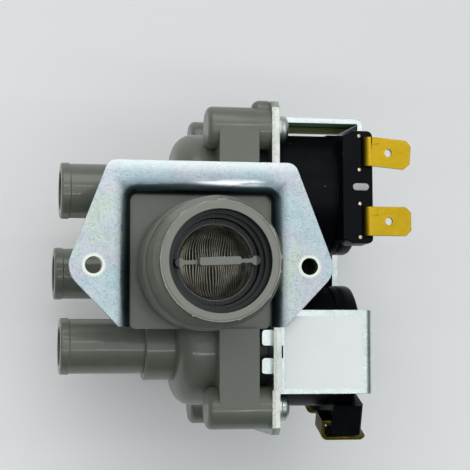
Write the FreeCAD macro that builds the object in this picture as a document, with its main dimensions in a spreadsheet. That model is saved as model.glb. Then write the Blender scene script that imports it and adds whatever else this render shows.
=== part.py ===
import FreeCAD, Part
import math
import os
import re
import Sketcher

# Triple water inlet valve lying on its back. +Z is the inlet axis, +X runs from the outlets to the coils,
# and the origin is on the inlet axis at the front face of the mounting bracket.
DRIVING_SIZES = [
    ("inlet_length", 22.0, "inlet tube above the bracket face"),
    ("inlet_bore", 10.35, "radius of the mouth"),
    ("thread_root", 12.06, "outer radius of the tube under its thread"),
    ("nose_round", 0.5, "rounding of the mouth's rim"),
    ("shoulder_radius", 13.8, "round shoulder between neck and thread"),
    ("shoulder_top", 8.3, "height of the shoulder"),
    ("step_radius", 9.6, "inner step below the mouth"),
    ("mouth_deep", 3.0, "depth of the mouth above the inner step"),
    ("step_deep", 2.0, "height of the inner step"),
    ("filter_radius", 8.9, "seat of the filter ring"),
    ("filter_deep", 6.0, "filter seat below the inner step"),
    ("passage_radius", 8.0, "passage behind the filter"),
    ("passage_wall", 3.0, "wall of the hub round the passage"),
    ("hub_floor", 2.0, "closed end of the hub"),
    ("neck_half", 15.2, "half width of the square neck"),
    ("neck_high", 15.2, "upper side of the neck"),
    ("neck_depth", 10.0, "depth of the neck"),
    ("neck_corner", 1.5, "corner radius of the neck"),
    ("front_drop", 18.0, "depth of the two front valve axes"),
    ("middle_drop", 47.0, "depth of the rear valve axis"),
    ("outlet_end", 29.0, "left end of the front outlets"),
    ("middle_end", 28.5, "left end of the rear outlet"),
    ("outlet_radius", 6.0, "outlet tube"),
    ("outlet_bore", 4.3, "outlet bore radius"),
    ("bead_high", 0.2, "height of the bead at the outlet's end"),
    ("bead_long", 1.9, "length of that bead"),
    ("bead_round", 0.5, "rounding of the outlet's end"),
    ("sleeve_radius", 7.4, "collar on the lower outlet"),
    ("sleeve_long", 6.4, "length of that collar"),
    ("chamber_left", 4.3, "left end of the chamber"),
    ("chamber_wall", 2.5, "wall of the chamber"),
    ("chamber_round", 4.7, "rounding of the chamber's left end"),
    ("annulus_radius", 10.5, "outer radius of the annular inlet chamber"),
    ("seat_drop", 1.4, "valve seat below the joint plane"),
    ("seat_round", 0.7, "slope on the valve seat"),
    ("rim_radius", 12.0, "diaphragm rim"),
    ("rim_thick", 1.2, "thickness of the diaphragm rim"),
    ("block_left", 3.8, "left side of the flange block"),
    ("block_half", 13.0, "half width of the flange block"),
    ("block_soft", 1.7, "rounded left edges of the flange block"),
    ("post_high", 2.8, "space between the diaphragm's joint plane and the flange plate"),
    ("boss_radius", 4.6, "screw boss"),
    ("boss_left", 1.5, "left end of the screw bosses"),
    ("boss_round", 1.3, "rounding of the bosses' left ends"),
    ("screw_out", 13.1, "screw distance from the axis across the yoke"),
    ("screw_high", 12.0, "screw distance from the axis in depth"),
    ("wing_out", 17.6, "screw distance of the rear valve's front pair"),
    ("wing_high", 2.5, "height of that pair over the axis"),
    ("nub_radius", 2.2, "small nub on the upper valve's front boss"),
    ("nub_out", 17.1, "nub from the axis"),
    ("nub_long", 3.7, "length of the nub"),
    ("nub_round", 1.8, "rounding of the nub"),
    ("bracket_thick", 1.2, "sheet of the bracket"),
    ("bracket_clear", 0.1, "space behind the bracket"),
    ("bracket_over", 7.0, "bracket's upper edge above the neck"),
    ("bracket_side", 4.8, "bracket's upper corner beside the neck"),
    ("bracket_leg", 12.9, "lower end of the bracket's legs"),
    ("bracket_round", 2.5, "upper corners of the bracket"),
    ("ear_side", 7.9, "mounting hole beside the neck"),
    ("ear_radius", 5.1, "ear round the mounting hole"),
    ("ear_slope", 45.0, "slope of the bracket's lower edges"),
    ("ear_hole", 1.8, "mounting hole radius"),
    ("burr_width", 0.55, "wall of the drawn rim behind a mounting hole"),
    ("burr_deep", 1.2, "length of that rim"),
    ("bend_radius", 2.6, "outer radius of the drawn collar"),
    ("collar_deep", 3.1, "depth of the collar"),
    ("relief_gap", 0.2, "space kept round the collar"),
    ("plate_thick", 1.75, "flange plate"),
    ("plate_reach", 18.8, "plate edge from the axis, outwards"),
    ("plate_rear", 16.7, "plate edge from the axis, to the rear"),
    ("plate_wing", 18.0, "plate edge in front of the yoke's lugs"),
    ("wing_width", 9.2, "outer end of that wing"),
    ("plate_chamfer", 1.5, "corner of the flange plate"),
    ("plate_gap", 0.2, "gap between neighbouring plates"),
    ("plate_share", 0.2, "width that the rear plate takes from its neighbours"),
    ("middle_cap", 17.2, "front edge of the rear plate"),
    ("middle_side", 18.0, "side of the rear plate"),
    ("yoke_width", 18.0, "width of the yoke strap"),
    ("yoke_thick", 1.2, "thickness of the yoke strap"),
    ("yoke_inner", 15.1, "half distance between the yoke's walls"),
    ("yoke_long", 20.45, "length of the yoke beyond the flange plate"),
    ("yoke_bend", 1.5, "outer bend radius of the yoke"),
    ("yoke_fold", 0.3, "inner bend radius of the yoke"),
    ("yoke_shift", 1.1, "sideways offset of the lower yoke"),
    ("yoke_clear", 0.2, "gap between the lower and the rear yoke"),
    ("tongue_width", 3.4, "yoke tongue"),
    ("tongue_out", 3.0, "centre of a tongue from the wall's centre line"),
    ("tongue_long", 2.2, "tongue beyond the plate"),
    ("tongue_round", 0.7, "rounded ends of the tongues"),
    ("tongue_notch", 0.65, "depth of the notch between the tongues"),
    ("slot_gap", 0.05, "play of a tongue in its slot"),
    ("lug_clear", 0.2, "space between the neck and the nearest lug"),
    ("tube_flange", 12.8, "flange of the guide tube"),
    ("flange_gap", 0.1, "space round the guide tube's flange"),
    ("tube_radius", 5.0, "guide tube"),
    ("tube_bore", 3.9, "bore of the guide tube"),
    ("tube_room", 0.7, "space behind the closed end of the guide tube"),
    ("tube_cap", 1.0, "thickness of the closed end"),
    ("tube_gap", 0.1, "space between the guide tube and the parts round it"),
    ("dome_radius", 9.5, "pilot chamber over the diaphragm"),
    ("dome_deep", 2.0, "depth of the pilot chamber"),
    ("armature_gap", 0.1, "running clearance of the armature"),
    ("armature_long", 15.4, "length of the armature"),
    ("armature_pocket", 2.9, "radius of the spring's pocket"),
    ("pocket_deep", 4.0, "depth of the spring's pocket"),
    ("plug_radius", 2.2, "rubber seal in the armature"),
    ("plug_long", 3.0, "length of the seal"),
    ("plug_out", 0.6, "how far the seal stands out"),
    ("spring_radius", 2.4, "mean radius of the spring"),
    ("spring_wire", 0.5, "wire of the spring"),
    ("spring_turns", 5.0, "turns of the spring"),
    ("membrane_thick", 1.0, "centre of the diaphragm"),
    ("membrane_web", 0.5, "flexible part of the diaphragm"),
    ("membrane_out", 7.0, "stiff centre of the diaphragm"),
    ("insert_disc", 6.3, "disc of the diaphragm insert"),
    ("insert_thick", 1.0, "thickness of that disc"),
    ("insert_hub", 3.0, "hub through the diaphragm"),
    ("insert_foot", 3.6, "foot below the diaphragm"),
    ("insert_deep", 1.8, "length of the foot"),
    ("nozzle_radius", 1.2, "pilot nozzle"),
    ("nozzle_high", 0.5, "height of the nozzle"),
    ("pilot_hole", 0.5, "radius of the pilot hole"),
    ("coil_gap", 0.1, "space between flange plate and bobbin"),
    ("bobbin_wall", 1.0, "wall of the bobbin"),
    ("bobbin_flange", 13.6, "right flange of the bobbin"),
    ("flange_thick", 1.3, "left flange of the bobbin"),
    ("coil_radius", 13.3, "outside of the coil"),
    ("cover_thick", 1.0, "cover over the winding"),
    ("coil_long", 13.85, "left end of the bobbin to the terminal block"),
    ("block_over", 0.2, "terminal block beyond the yoke"),
    ("bobbin_thick", 1.6, "right flange of the bobbin"),
    ("block_in", 1.0, "end of the terminal block inside the coil's radius"),
    ("block_top", 16.5, "outer face of the terminal block"),
    ("block_gap", 0.5, "space between the block and the yoke"),
    ("block_slope", 2.1, "length of the sloped shoulder"),
    ("block_cut", 1.1, "depth of the sloped shoulder"),
    ("block_round", 1.2, "right corners of the terminal block"),
    ("tab_width", 6.3, "terminal tab"),
    ("tab_thick", 0.8, "thickness of the tab"),
    ("tab_out", 7.6, "centre of a tab from the block's centre"),
    ("tab_rise", 1.8, "outer face of the tab over the block"),
    ("tab_in", 2.4, "rising part from the block's right side"),
    ("tab_long", 10.4, "length of the tab from that face"),
    ("tab_chamfer", 1.2, "tip corners of the tab"),
    ("tab_hole", 0.82, "hole in the tab"),
    ("tab_hole_back", 5.0, "hole centre from the tip"),
    ("tab_deep", 4.5, "part of the tab inside the block"),
    ("tab_lean", 5.3, "sideways lean of the upper tab in degrees"),
    ("low_out", 2.1, "lower terminals' rising part beside the block"),
    ("foot_height", 13.6, "underside of the lower terminals' feet"),
    ("foot_long", 4.0, "length of the lower terminals' feet"),
    ("top_turn", -1.3, "turn of the upper coil in degrees"),
    ("low_turn", 110.0, "turn of the lower coil in degrees"),
    ("rear_turn", -90.0, "turn of the rear coil in degrees"),
    ("head_radius", 3.1, "screw head"),
    ("head_high", 2.4, "height of the screw head"),
    ("head_round", 1.7, "rounding of the screw head"),
    ("shank_radius", 1.4, "screw shank"),
    ("shank_long", 6.5, "length of the shank"),
    ("hole_spare", 0.7, "hole beyond the screw's tip"),
    ("hole_gap", 0.2, "play of the screw in the plate"),
    ("recess_long", 1.8, "half length of the cross recess"),
    ("recess_wide", 0.35, "half width of the cross recess"),
    ("recess_deep", 1.3, "depth of the cross recess"),
    ("ring_gap", 0.15, "play of the filter ring"),
    ("ring_wall", 1.15, "wall of the filter ring"),
    ("ring_high", 2.2, "height of the filter ring"),
    ("pin_out", 7.7, "pin of the cross piece from the centre"),
    ("pin_radius", 0.95, "pin of the cross piece"),
    ("cross_drop", 0.4, "cross piece below the upper side of the inner step"),
    ("cross_thick", 1.3, "height of the cross piece"),
    ("link_half", 0.4, "half width of the links"),
    ("grip_half", 4.15, "half length of the grip"),
    ("grip_wide", 0.8, "half width of the grip"),
    ("grip_high", 2.9, "grip above the cross piece"),
    ("cross_turn", 2.2, "turn of the filter in degrees"),
    ("gauze_depth", 10.5, "depth of the gauze cup"),
    ("gauze_thick", 0.3, "thickness of the gauze"),
    ("gauze_round", 5.0, "rounding at the bottom of the gauze cup"),
    ("label_thick", 0.12, "paper label"),
    ("label_in", 1.05, "label from the flange plate"),
    ("label_long", 17.1, "length of the label"),
    ("label_high", 15.4, "height of the label"),
    ("label_shift", 0.1, "label centre from the yoke's centre line"),
]

document = FreeCAD.newDocument("washing_machine_inlet_valve")
sheet = document.addObject("Spreadsheet::Sheet", "Sizes")
for row, (word, number, note) in enumerate(DRIVING_SIZES, start=1):
    sheet.set("A%d" % row, word)
    sheet.set("B%d" % row, str(number))
    sheet.setAlias("B%d" % row, word)
    sheet.set("C%d" % row, note)
document.recompute()

words = {word for word, number, note in DRIVING_SIZES}
PLANES = {"XY": "XY_Plane", "XZ": "XZ_Plane", "YZ": "YZ_Plane"}

# Sizes that follow from the driving ones: along the inlet, across the bracket, and along the valves.
FOLLOWING = {
    "step_top": "inlet_length - mouth_deep",
    "filter_floor": "step_top - filter_deep",
    "cross_height": "step_top - cross_drop",
    "bracket_top": "neck_high + bracket_over",
    "bracket_half": "neck_half + bracket_side",
    "ear_out": "neck_half + ear_side",
    "joint_x": "neck_half - post_high",
    "coil_start": "neck_half + plate_thick + coil_gap",
    "yoke_end": "neck_half + plate_thick + yoke_long",
    "tube_end": "yoke_end - yoke_thick - tube_room",
    "block_start": "coil_start + coil_long",
    "block_end": "yoke_end + block_over",
    "block_wide": "coil_radius - block_in",
    "tab_root": "block_end - tab_in",
    "low_root": "block_start - low_out",
    "label_start": "neck_half + plate_thick + label_in",
}
VALVE_Y = "(yoke_width + yoke_clear - yoke_shift)"
APART = "hypot(%s; middle_drop - front_drop)" % VALVE_Y
LEAN_Y = "(%s / %s)" % (VALVE_Y, APART)
LEAN_Z = "((middle_drop - front_drop) / %s)" % APART
PLATE_X = "neck_half"
YOKE_X = "(neck_half + plate_thick)"
SEAT_X = "(joint_x - seat_drop)"
NECK_LOW = "(%s + yoke_shift - tongue_out - tongue_width / 2 - lug_clear)" % VALVE_Y
BLOCK_FRONT = "(front_drop - bracket_thick - bracket_clear)"
CHAMBER = "(annulus_radius + chamber_wall)"
HUB_RADIUS = "(passage_radius + passage_wall)"
PASSAGE_END = "(middle_drop - annulus_radius + seat_drop)"
NOZZLE_X = "(%s + membrane_thick + insert_thick + nozzle_high)" % SEAT_X
ARMATURE_X = "(%s + plug_out)" % NOZZLE_X
RELIEF = "(collar_deep + relief_gap)"


def bind(text):
    """An expression in which each word of the size sheet is written with the sheet's name."""
    def written(found):
        word = found.group()
        if word in FOLLOWING:
            return "(%s)" % bind(FOLLOWING[word])
        return "Sizes." + word if word in words else word

    return re.sub(r"[a-z][a-z_]*", written, str(text))


def new_body(name, place=("0", "0", "0"), axis=None, turn="0"):
    body = document.addObject("PartDesign::Body", name)
    body.Label = name
    body.AllowCompound = True
    if axis:
        body.Placement = FreeCAD.Placement(FreeCAD.Vector(), FreeCAD.Rotation(FreeCAD.Vector(*axis), 1))
        body.setExpression("Placement.Rotation.Angle", bind("(%s) * 1 deg" % turn))
    for letter, text in zip("xyz", place):
        body.setExpression("Placement.Base." + letter, bind(text))
    return body


def value(body, text):
    return float(body.evalExpression(bind(text)))


def new_sketch(body, plane, offset):
    sketch = body.newObject("Sketcher::SketchObject", "sketch")
    plane_object = [item for item in body.Origin.OriginFeatures if item.Role == PLANES[plane]][0]
    sketch.AttachmentSupport = [(plane_object, "")]
    sketch.MapMode = "FlatFace"
    for letter, text in zip("xyz", offset):
        sketch.setExpression("AttachmentOffset.Base." + letter, bind(text))
    return sketch


def fix(sketch, kind, geometry, point, text):
    index = sketch.addConstraint(Sketcher.Constraint(kind, -1, 1, geometry, point, value(sketch, text)))
    sketch.setExpression("Constraints[%d]" % index, bind(text))


def outline(sketch, points, closed=True):
    """Lines and arcs through points; a third entry is the radius of the arc that leaves the point, below zero
    for an arc that turns clockwise."""
    spots = [FreeCAD.Vector(value(sketch, item[0]), value(sketch, item[1]), 0) for item in points]
    first = sketch.GeometryCount
    count = len(points) if closed else len(points) - 1
    for number in range(count):
        begin = spots[number]
        end = spots[(number + 1) % len(points)]
        if len(points[number]) == 3:
            radius = value(sketch, points[number][2])
            middle = (begin + end) / 2
            half = (end - begin).Length / 2
            side = FreeCAD.Vector(begin.y - end.y, end.x - begin.x, 0).normalize()
            away = math.sqrt(max(radius * radius - half * half, 0))
            centre = middle + side * math.copysign(away, radius)
            top = centre - side * math.copysign(abs(radius), radius)
            sketch.addGeometry(Part.Arc(begin, top, end))
        else:
            sketch.addGeometry(Part.LineSegment(begin, end))
    ends = []
    for number in range(count):
        clockwise = len(points[number]) == 3 and value(sketch, points[number][2]) < 0
        ends.append((2, 1) if clockwise else (1, 2))
    for number in range(count if closed else count - 1):
        after = (number + 1) % count
        pair = (first + number, ends[number][1], first + after, ends[after][0])
        sketch.addConstraint(Sketcher.Constraint("Coincident", *pair))
    for number in range(count):
        fix(sketch, "DistanceX", first + number, ends[number][0], points[number][0])
        fix(sketch, "DistanceY", first + number, ends[number][0], points[number][1])
        if len(points[number]) == 3:
            radius = "abs(%s)" % points[number][2]
            index = sketch.addConstraint(Sketcher.Constraint("Radius", first + number, value(sketch, radius)))
            sketch.setExpression("Constraints[%d]" % index, bind(radius))
    if not closed:
        fix(sketch, "DistanceX", first + count - 1, ends[-1][1], points[-1][0])
        fix(sketch, "DistanceY", first + count - 1, ends[-1][1], points[-1][1])


def circle(sketch, across, up, radius):
    centre = FreeCAD.Vector(value(sketch, across), value(sketch, up), 0)
    number = sketch.addGeometry(Part.Circle(centre, FreeCAD.Vector(0, 0, 1), value(sketch, radius)))
    fix(sketch, "DistanceX", number, 3, across)
    fix(sketch, "DistanceY", number, 3, up)
    index = sketch.addConstraint(Sketcher.Constraint("Radius", number, value(sketch, radius)))
    sketch.setExpression("Constraints[%d]" % index, bind(radius))


def rectangle(low, left, high, right):
    return [(left, low), (right, low), (right, high), (left, high)]


def rounded(left, low, right, high, radius):
    """Points of an upright rectangle with equal corner arcs."""
    ins = "(%s) + (%s)"
    out = "(%s) - (%s)"
    return [
        (ins % (left, radius), low), (out % (right, radius), low, radius),
        (right, ins % (low, radius)), (right, out % (high, radius), radius),
        (out % (right, radius), high), (ins % (left, radius), high, radius),
        (left, out % (high, radius)), (left, ins % (low, radius), radius),
    ]


def pad(body, sketch, length, cut=False):
    """Material or a pocket from the sketch along its normal."""
    feature = body.newObject("PartDesign::Pocket" if cut else "PartDesign::Pad", "pocket" if cut else "pad")
    feature.Profile = sketch
    feature.setExpression("Length", bind(length))
    feature.Reversed = cut
    return feature


def spin(body, sketch, axis="H_Axis", cut=False):
    """A turned shape or a turned cavity round an axis of the sketch."""
    feature = body.newObject("PartDesign::Groove" if cut else "PartDesign::Revolution", "groove" if cut else "turning")
    feature.Profile = sketch
    feature.ReferenceAxis = (sketch, [axis])
    feature.Angle = 360
    return feature


def turned(body, points, place=("0", "0", "0"), cut=False):
    sketch = new_sketch(body, "XY", place)
    outline(sketch, points)
    spin(body, sketch, "H_Axis", cut)


def block(body, plane, offset, points, length, cut=False):
    sketch = new_sketch(body, plane, offset)
    outline(sketch, points)
    return pad(body, sketch, length, cut)


def post(body, plane, offset, centres, radius, length, cut=False):
    sketch = new_sketch(body, plane, offset)
    for across, up in centres:
        circle(sketch, across, up, radius)
    return pad(body, sketch, length, cut)


# The three valves: axis, side that faces outwards, turn of the coil, screws as distances from the axis.
OUTER_REAR = ("screw_out", "-screw_high")
OUTER_FRONT = ("screw_out", "screw_high")
INNER_FRONT = ("-screw_out", "screw_high")
VALVES = {
    "top": {
        "y": VALVE_Y, "z": "-front_drop", "side": "1", "left": "outlet_end", "turn": "top_turn",
        "screws": [OUTER_FRONT, OUTER_REAR, INNER_FRONT],
    },
    "bottom": {
        "y": "-" + VALVE_Y, "z": "-front_drop", "side": "-1", "left": "outlet_end", "turn": "low_turn",
        "screws": [OUTER_FRONT, OUTER_REAR, INNER_FRONT],
    },
    "middle": {
        "y": "0", "z": "-middle_drop", "side": "1", "left": "middle_end", "turn": "rear_turn",
        "screws": [OUTER_REAR, ("-screw_out", "-screw_high"), ("wing_out", "wing_high"), ("-wing_out", "wing_high")],
    },
}

# Moulded housing: hub, neck and threaded inlet on +Z, three outlets and chambers along X.
housing = new_body("body_housing")
inlet = new_sketch(housing, "XZ", ("0", "0", "0"))
HUB_END = "-(%s + hub_floor)" % PASSAGE_END
outline(inlet, [
    ("0", HUB_END), (HUB_RADIUS, HUB_END), (HUB_RADIUS, "-neck_depth / 2"), ("shoulder_radius", "-neck_depth / 2"),
    ("shoulder_radius", "shoulder_top - nose_round", "nose_round"), ("shoulder_radius - nose_round", "shoulder_top"),
    ("thread_root", "shoulder_top"), ("thread_root", "inlet_length - nose_round", "nose_round"),
    ("thread_root - nose_round", "inlet_length"), ("0", "inlet_length"),
])
spin(housing, inlet, "V_Axis")
NECK = rounded("-neck_half", "-" + NECK_LOW, "neck_half", "neck_high", "neck_corner")
block(housing, "XY", ("0", "0", "-neck_depth"), NECK, "neck_depth")

for name, valve in VALVES.items():
    axis = ("0", valve["y"], valve["z"])
    left = "-" + valve["left"]
    turned(housing, [
        (left, "0"), (left + " + bead_long + bead_high", "0"), ("joint_x", "0"), ("joint_x", CHAMBER),
        ("chamber_round - chamber_left", CHAMBER, "chamber_round"), ("-chamber_left", CHAMBER + " - chamber_round"),
        ("-chamber_left", "outlet_radius"), (left + " + bead_long + bead_high", "outlet_radius"),
        (left + " + bead_long", "outlet_radius + bead_high"),
        (left + " + bead_round", "outlet_radius + bead_high", "bead_round"),
        (left, "outlet_radius + bead_high - bead_round"),
    ], axis)
    block(housing, "XY", ("0", "0", "%s - %s" % (valve["z"], BLOCK_FRONT)), [
        ("joint_x", valve["y"] + " - block_half"), ("joint_x", valve["y"] + " + block_half"),
        ("block_left + block_soft", valve["y"] + " + block_half", "block_soft"),
        ("block_left", valve["y"] + " + block_half - block_soft"),
        ("block_left", valve["y"] + " - block_half + block_soft", "block_soft"),
        ("block_left + block_soft", valve["y"] + " - block_half"),
    ], "2 * " + BLOCK_FRONT)
    for across, high in valve["screws"]:
        place = ("0", "%s + %s * (%s)" % (valve["y"], valve["side"], across), "%s + %s" % (valve["z"], high))
        turned(housing, [
            ("boss_left", "0"), (PLATE_X, "0"), (PLATE_X, "boss_radius"),
            ("boss_left + boss_round", "boss_radius", "boss_round"), ("boss_left", "boss_radius - boss_round"),
        ], place)

turned(housing, [
    ("-chamber_left - sleeve_long", "0"), ("0", "0"), ("0", "sleeve_radius"),
    ("bead_high - chamber_left - sleeve_long", "sleeve_radius"),
    ("-chamber_left - sleeve_long", "sleeve_radius - bead_high"),
], ("0", "-" + VALVE_Y, "-front_drop"))
turned(housing, [
    (PLATE_X + " - nub_long", "0"), (PLATE_X, "0"), (PLATE_X, "nub_radius"),
    (PLATE_X + " - nub_long + nub_round", "nub_radius", "nub_round"),
    (PLATE_X + " - nub_long", "nub_radius - nub_round"),
], ("0", "%s + nub_out" % VALVE_Y, "screw_high - front_drop"))
block(housing, "YZ", ("0", "-middle_drop + wing_high", "block_left"), rectangle(
    "-boss_radius", "-wing_out", "boss_radius", "wing_out"), "joint_x - block_left")

# Cavities: mouth, filter seat and passage, then for each valve the outlet bore, the annular chamber with its
# seat, the room for the guide tube's flange and the screw holes.
mouth = new_sketch(housing, "XZ", ("0", "0", "0"))
outline(mouth, [
    ("0", "-" + PASSAGE_END), ("passage_radius", "-" + PASSAGE_END), ("passage_radius", "filter_floor"),
    ("filter_radius", "filter_floor"), ("filter_radius", "step_top - step_deep"),
    ("step_radius", "step_top - step_deep"), ("step_radius", "step_top"), ("inlet_bore", "step_top"),
    ("inlet_bore", "inlet_length"), ("0", "inlet_length"),
])
spin(housing, mouth, "V_Axis", cut=True)
for name, valve in VALVES.items():
    axis = ("0", valve["y"], valve["z"])
    turned(housing, rectangle("0", "-" + valve["left"], "outlet_bore", "joint_x"), axis, cut=True)
    turned(housing, [
        ("0", "outlet_radius"), (SEAT_X + " - seat_round", "outlet_radius"), (SEAT_X, "outlet_radius - seat_round"),
        (SEAT_X, "0"), ("joint_x", "0"), ("joint_x", "rim_radius"), ("joint_x - rim_thick", "rim_radius"),
        ("joint_x - rim_thick", "annulus_radius"), ("0", "annulus_radius"),
    ], axis, cut=True)
    if name != "middle":
        turned(housing, rectangle("0", "joint_x", "tube_flange + flange_gap", PLATE_X), axis, cut=True)
    centres = []
    for across, high in valve["screws"]:
        centres.append(("%s + %s * (%s)" % (valve["y"], valve["side"], across), "%s + %s" % (valve["z"], high)))
    tip = "%s - shank_long - hole_spare" % YOKE_X
    post(housing, "YZ", ("0", "0", tip), centres, "shank_radius", "%s - (%s)" % (PLATE_X, tip), cut=True)

# Relief round the neck for the bracket's collar.
collar_room = new_sketch(housing, "XY", ("0", "0", "-" + RELIEF))
outline(collar_room, rounded(
    "-neck_half - bend_radius - relief_gap", "-bracket_leg - relief_gap",
    "neck_half + bend_radius + relief_gap", "neck_high + bend_radius + relief_gap", "neck_corner"))
outline(collar_room, rounded("-neck_half", "-" + NECK_LOW, "neck_half", "neck_high", "neck_corner"))
pad(housing, collar_room, RELIEF, cut=True)

# Mounting bracket: sheet with two ears, open at the bottom, with a collar drawn back along the neck.
bracket = new_body("mounting_bracket")
CORNER_LONG = "hypot(ear_out - bracket_half; bracket_top)"
EAR_TURN = "(atan2(bracket_top; bracket_half - ear_out) - acos(ear_radius / %s))" % CORNER_LONG
EAR_UP = ("(ear_out + ear_radius * cos(%s))" % EAR_TURN, "(ear_radius * sin(%s))" % EAR_TURN)
EAR_LOW = ("(ear_out + ear_radius * sin(ear_slope * 1 deg))", "(-ear_radius * cos(ear_slope * 1 deg))")
SIDE = ("(%s - bracket_half)" % EAR_UP[0], "(bracket_top - %s)" % EAR_UP[1])
SIDE_X = "(%s / hypot(%s; %s))" % (SIDE[0], SIDE[0], SIDE[1])
SIDE_Y = "(%s / hypot(%s; %s))" % (SIDE[1], SIDE[0], SIDE[1])
CORNER_RUN = "(bracket_round * sqrt((1 - %s) / (1 + %s)))" % (SIDE_X, SIDE_X)
CORNER_SIDE = ("(bracket_half + %s * %s)" % (CORNER_RUN, SIDE_X), "(bracket_top - %s * %s)" % (CORNER_RUN, SIDE_Y))
CORNER_TOP = "(bracket_half - %s)" % CORNER_RUN
FOLD = "(neck_half + bend_radius)"
FOLD_TOP = "(neck_high + bend_radius)"
FOLD_CORNER = "(neck_corner + bend_radius)"
block(bracket, "XY", ("0", "0", "-bracket_thick"), [
    (FOLD, "-bracket_leg"), (EAR_LOW[0], EAR_LOW[1], "ear_radius"), EAR_UP,
    (CORNER_SIDE[0], CORNER_SIDE[1], "bracket_round"), (CORNER_TOP, "bracket_top"),
    ("-" + CORNER_TOP, "bracket_top", "bracket_round"), ("-" + CORNER_SIDE[0], CORNER_SIDE[1]),
    ("-" + EAR_UP[0], EAR_UP[1], "ear_radius"), ("-" + EAR_LOW[0], EAR_LOW[1]),
    ("-" + FOLD, "-bracket_leg"), ("-" + FOLD, "%s - %s" % (FOLD_TOP, FOLD_CORNER), "-" + FOLD_CORNER),
    ("%s - %s" % (FOLD_CORNER, FOLD), FOLD_TOP), ("%s - %s" % (FOLD, FOLD_CORNER), FOLD_TOP, "-" + FOLD_CORNER),
    (FOLD, "%s - %s" % (FOLD_TOP, FOLD_CORNER)),
], "bracket_thick")
path = new_sketch(bracket, "XY", ("0", "0", "0"))
outline(path, [
    ("neck_half", "-bracket_leg"), ("neck_half", "neck_high - neck_corner", "neck_corner"),
    ("neck_half - neck_corner", "neck_high"), ("neck_corner - neck_half", "neck_high", "neck_corner"),
    ("-neck_half", "neck_high - neck_corner"), ("-neck_half", "-bracket_leg"),
], closed=False)
section = new_sketch(bracket, "XZ", ("0", "0", "bracket_leg"))
outline(section, [
    (FOLD, "0", "bend_radius"), ("neck_half", "-bend_radius"), ("neck_half", "-collar_deep"),
    ("neck_half + bracket_thick", "-collar_deep"),
    ("neck_half + bracket_thick", "-bend_radius", "bracket_thick - bend_radius"), (FOLD, "-bracket_thick"),
])
collar = bracket.newObject("PartDesign::AdditivePipe", "collar")
collar.Profile = section
collar.Spine = (path, ["Edge%d" % number for number in range(1, 6)])
EARS = [("ear_out", "0"), ("-ear_out", "0")]
post(bracket, "XY", ("0", "0", "-bracket_thick - burr_deep"), EARS, "ear_hole + burr_width", "burr_deep")
post(bracket, "XY", ("0", "0", "-bracket_thick - burr_deep"), EARS, "ear_hole", "burr_deep + bracket_thick", cut=True)

# Filter: ring on its seat, two pins, links and grip, and the gauze cup inside the ring.
frame = new_body("inlet_filter_frame", axis=(0, 0, 1), turn="cross_turn")
ring = new_sketch(frame, "XZ", ("0", "0", "0"))
outline(ring, rectangle(
    "filter_floor", "filter_radius - ring_gap - ring_wall", "filter_floor + ring_high", "filter_radius - ring_gap"))
spin(frame, ring, "V_Axis")
PINS = [("pin_out", "0"), ("-pin_out", "0")]
CROSS_LOW = "cross_height - cross_thick"
post(frame, "XY", ("0", "0", "filter_floor"), PINS, "pin_radius", "cross_height - filter_floor")
block(frame, "XY", ("0", "0", CROSS_LOW), rectangle("-link_half", "-pin_out", "link_half", "pin_out"), "cross_thick")
GRIP = rounded("-grip_half", "-grip_wide", "grip_half", "grip_wide", "link_half")
block(frame, "XY", ("0", "0", CROSS_LOW), GRIP, "cross_thick + grip_high")
inside = new_sketch(frame, "XY", ("0", "0", "filter_floor"))
circle(inside, "0", "0", "filter_radius - ring_gap - ring_wall")
pad(frame, inside, "ring_high", cut=True)

gauze = new_body("inlet_filter_mesh")
cup = new_sketch(gauze, "XZ", ("0", "0", "0"))
CUP = "(filter_radius - ring_gap - ring_wall)"
CUP_TOP = "(filter_floor + ring_high)"
CUP_LOW = "(filter_floor + ring_high - gauze_depth)"
outline(cup, [
    ("0", CUP_LOW), (CUP + " - gauze_round", CUP_LOW, "gauze_round"), (CUP, CUP_LOW + " + gauze_round"),
    (CUP, CUP_TOP), (CUP + " - gauze_thick", CUP_TOP),
    (CUP + " - gauze_thick", CUP_LOW + " + gauze_round", "gauze_thick - gauze_round"),
    (CUP + " - gauze_round", CUP_LOW + " + gauze_thick"), ("0", CUP_LOW + " + gauze_thick"),
])
spin(gauze, cup, "V_Axis")

# Flange plates: outlines in distances outwards and forwards from each valve's axis.
CUT = "(%s / 2 - plate_gap / 2 - plate_share)" % APART
CUT_REAR = "(%s / 2 - plate_gap / 2 + plate_share)" % APART
INNER = "-(%s - plate_gap / 2)" % VALVE_Y


def slant_high(out, cut=CUT, sign="-"):
    """Height of the slanted edge at a distance outwards."""
    return "(%s(%s - (%s) * %s) / %s)" % (sign, cut, out, LEAN_Y, LEAN_Z)


def slant_out(high, cut=CUT):
    """Distance outwards of the slanted edge at a depth below the axis."""
    return "((%s - (%s) * %s) / %s)" % (cut, high, LEAN_Z, LEAN_Y)


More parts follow.
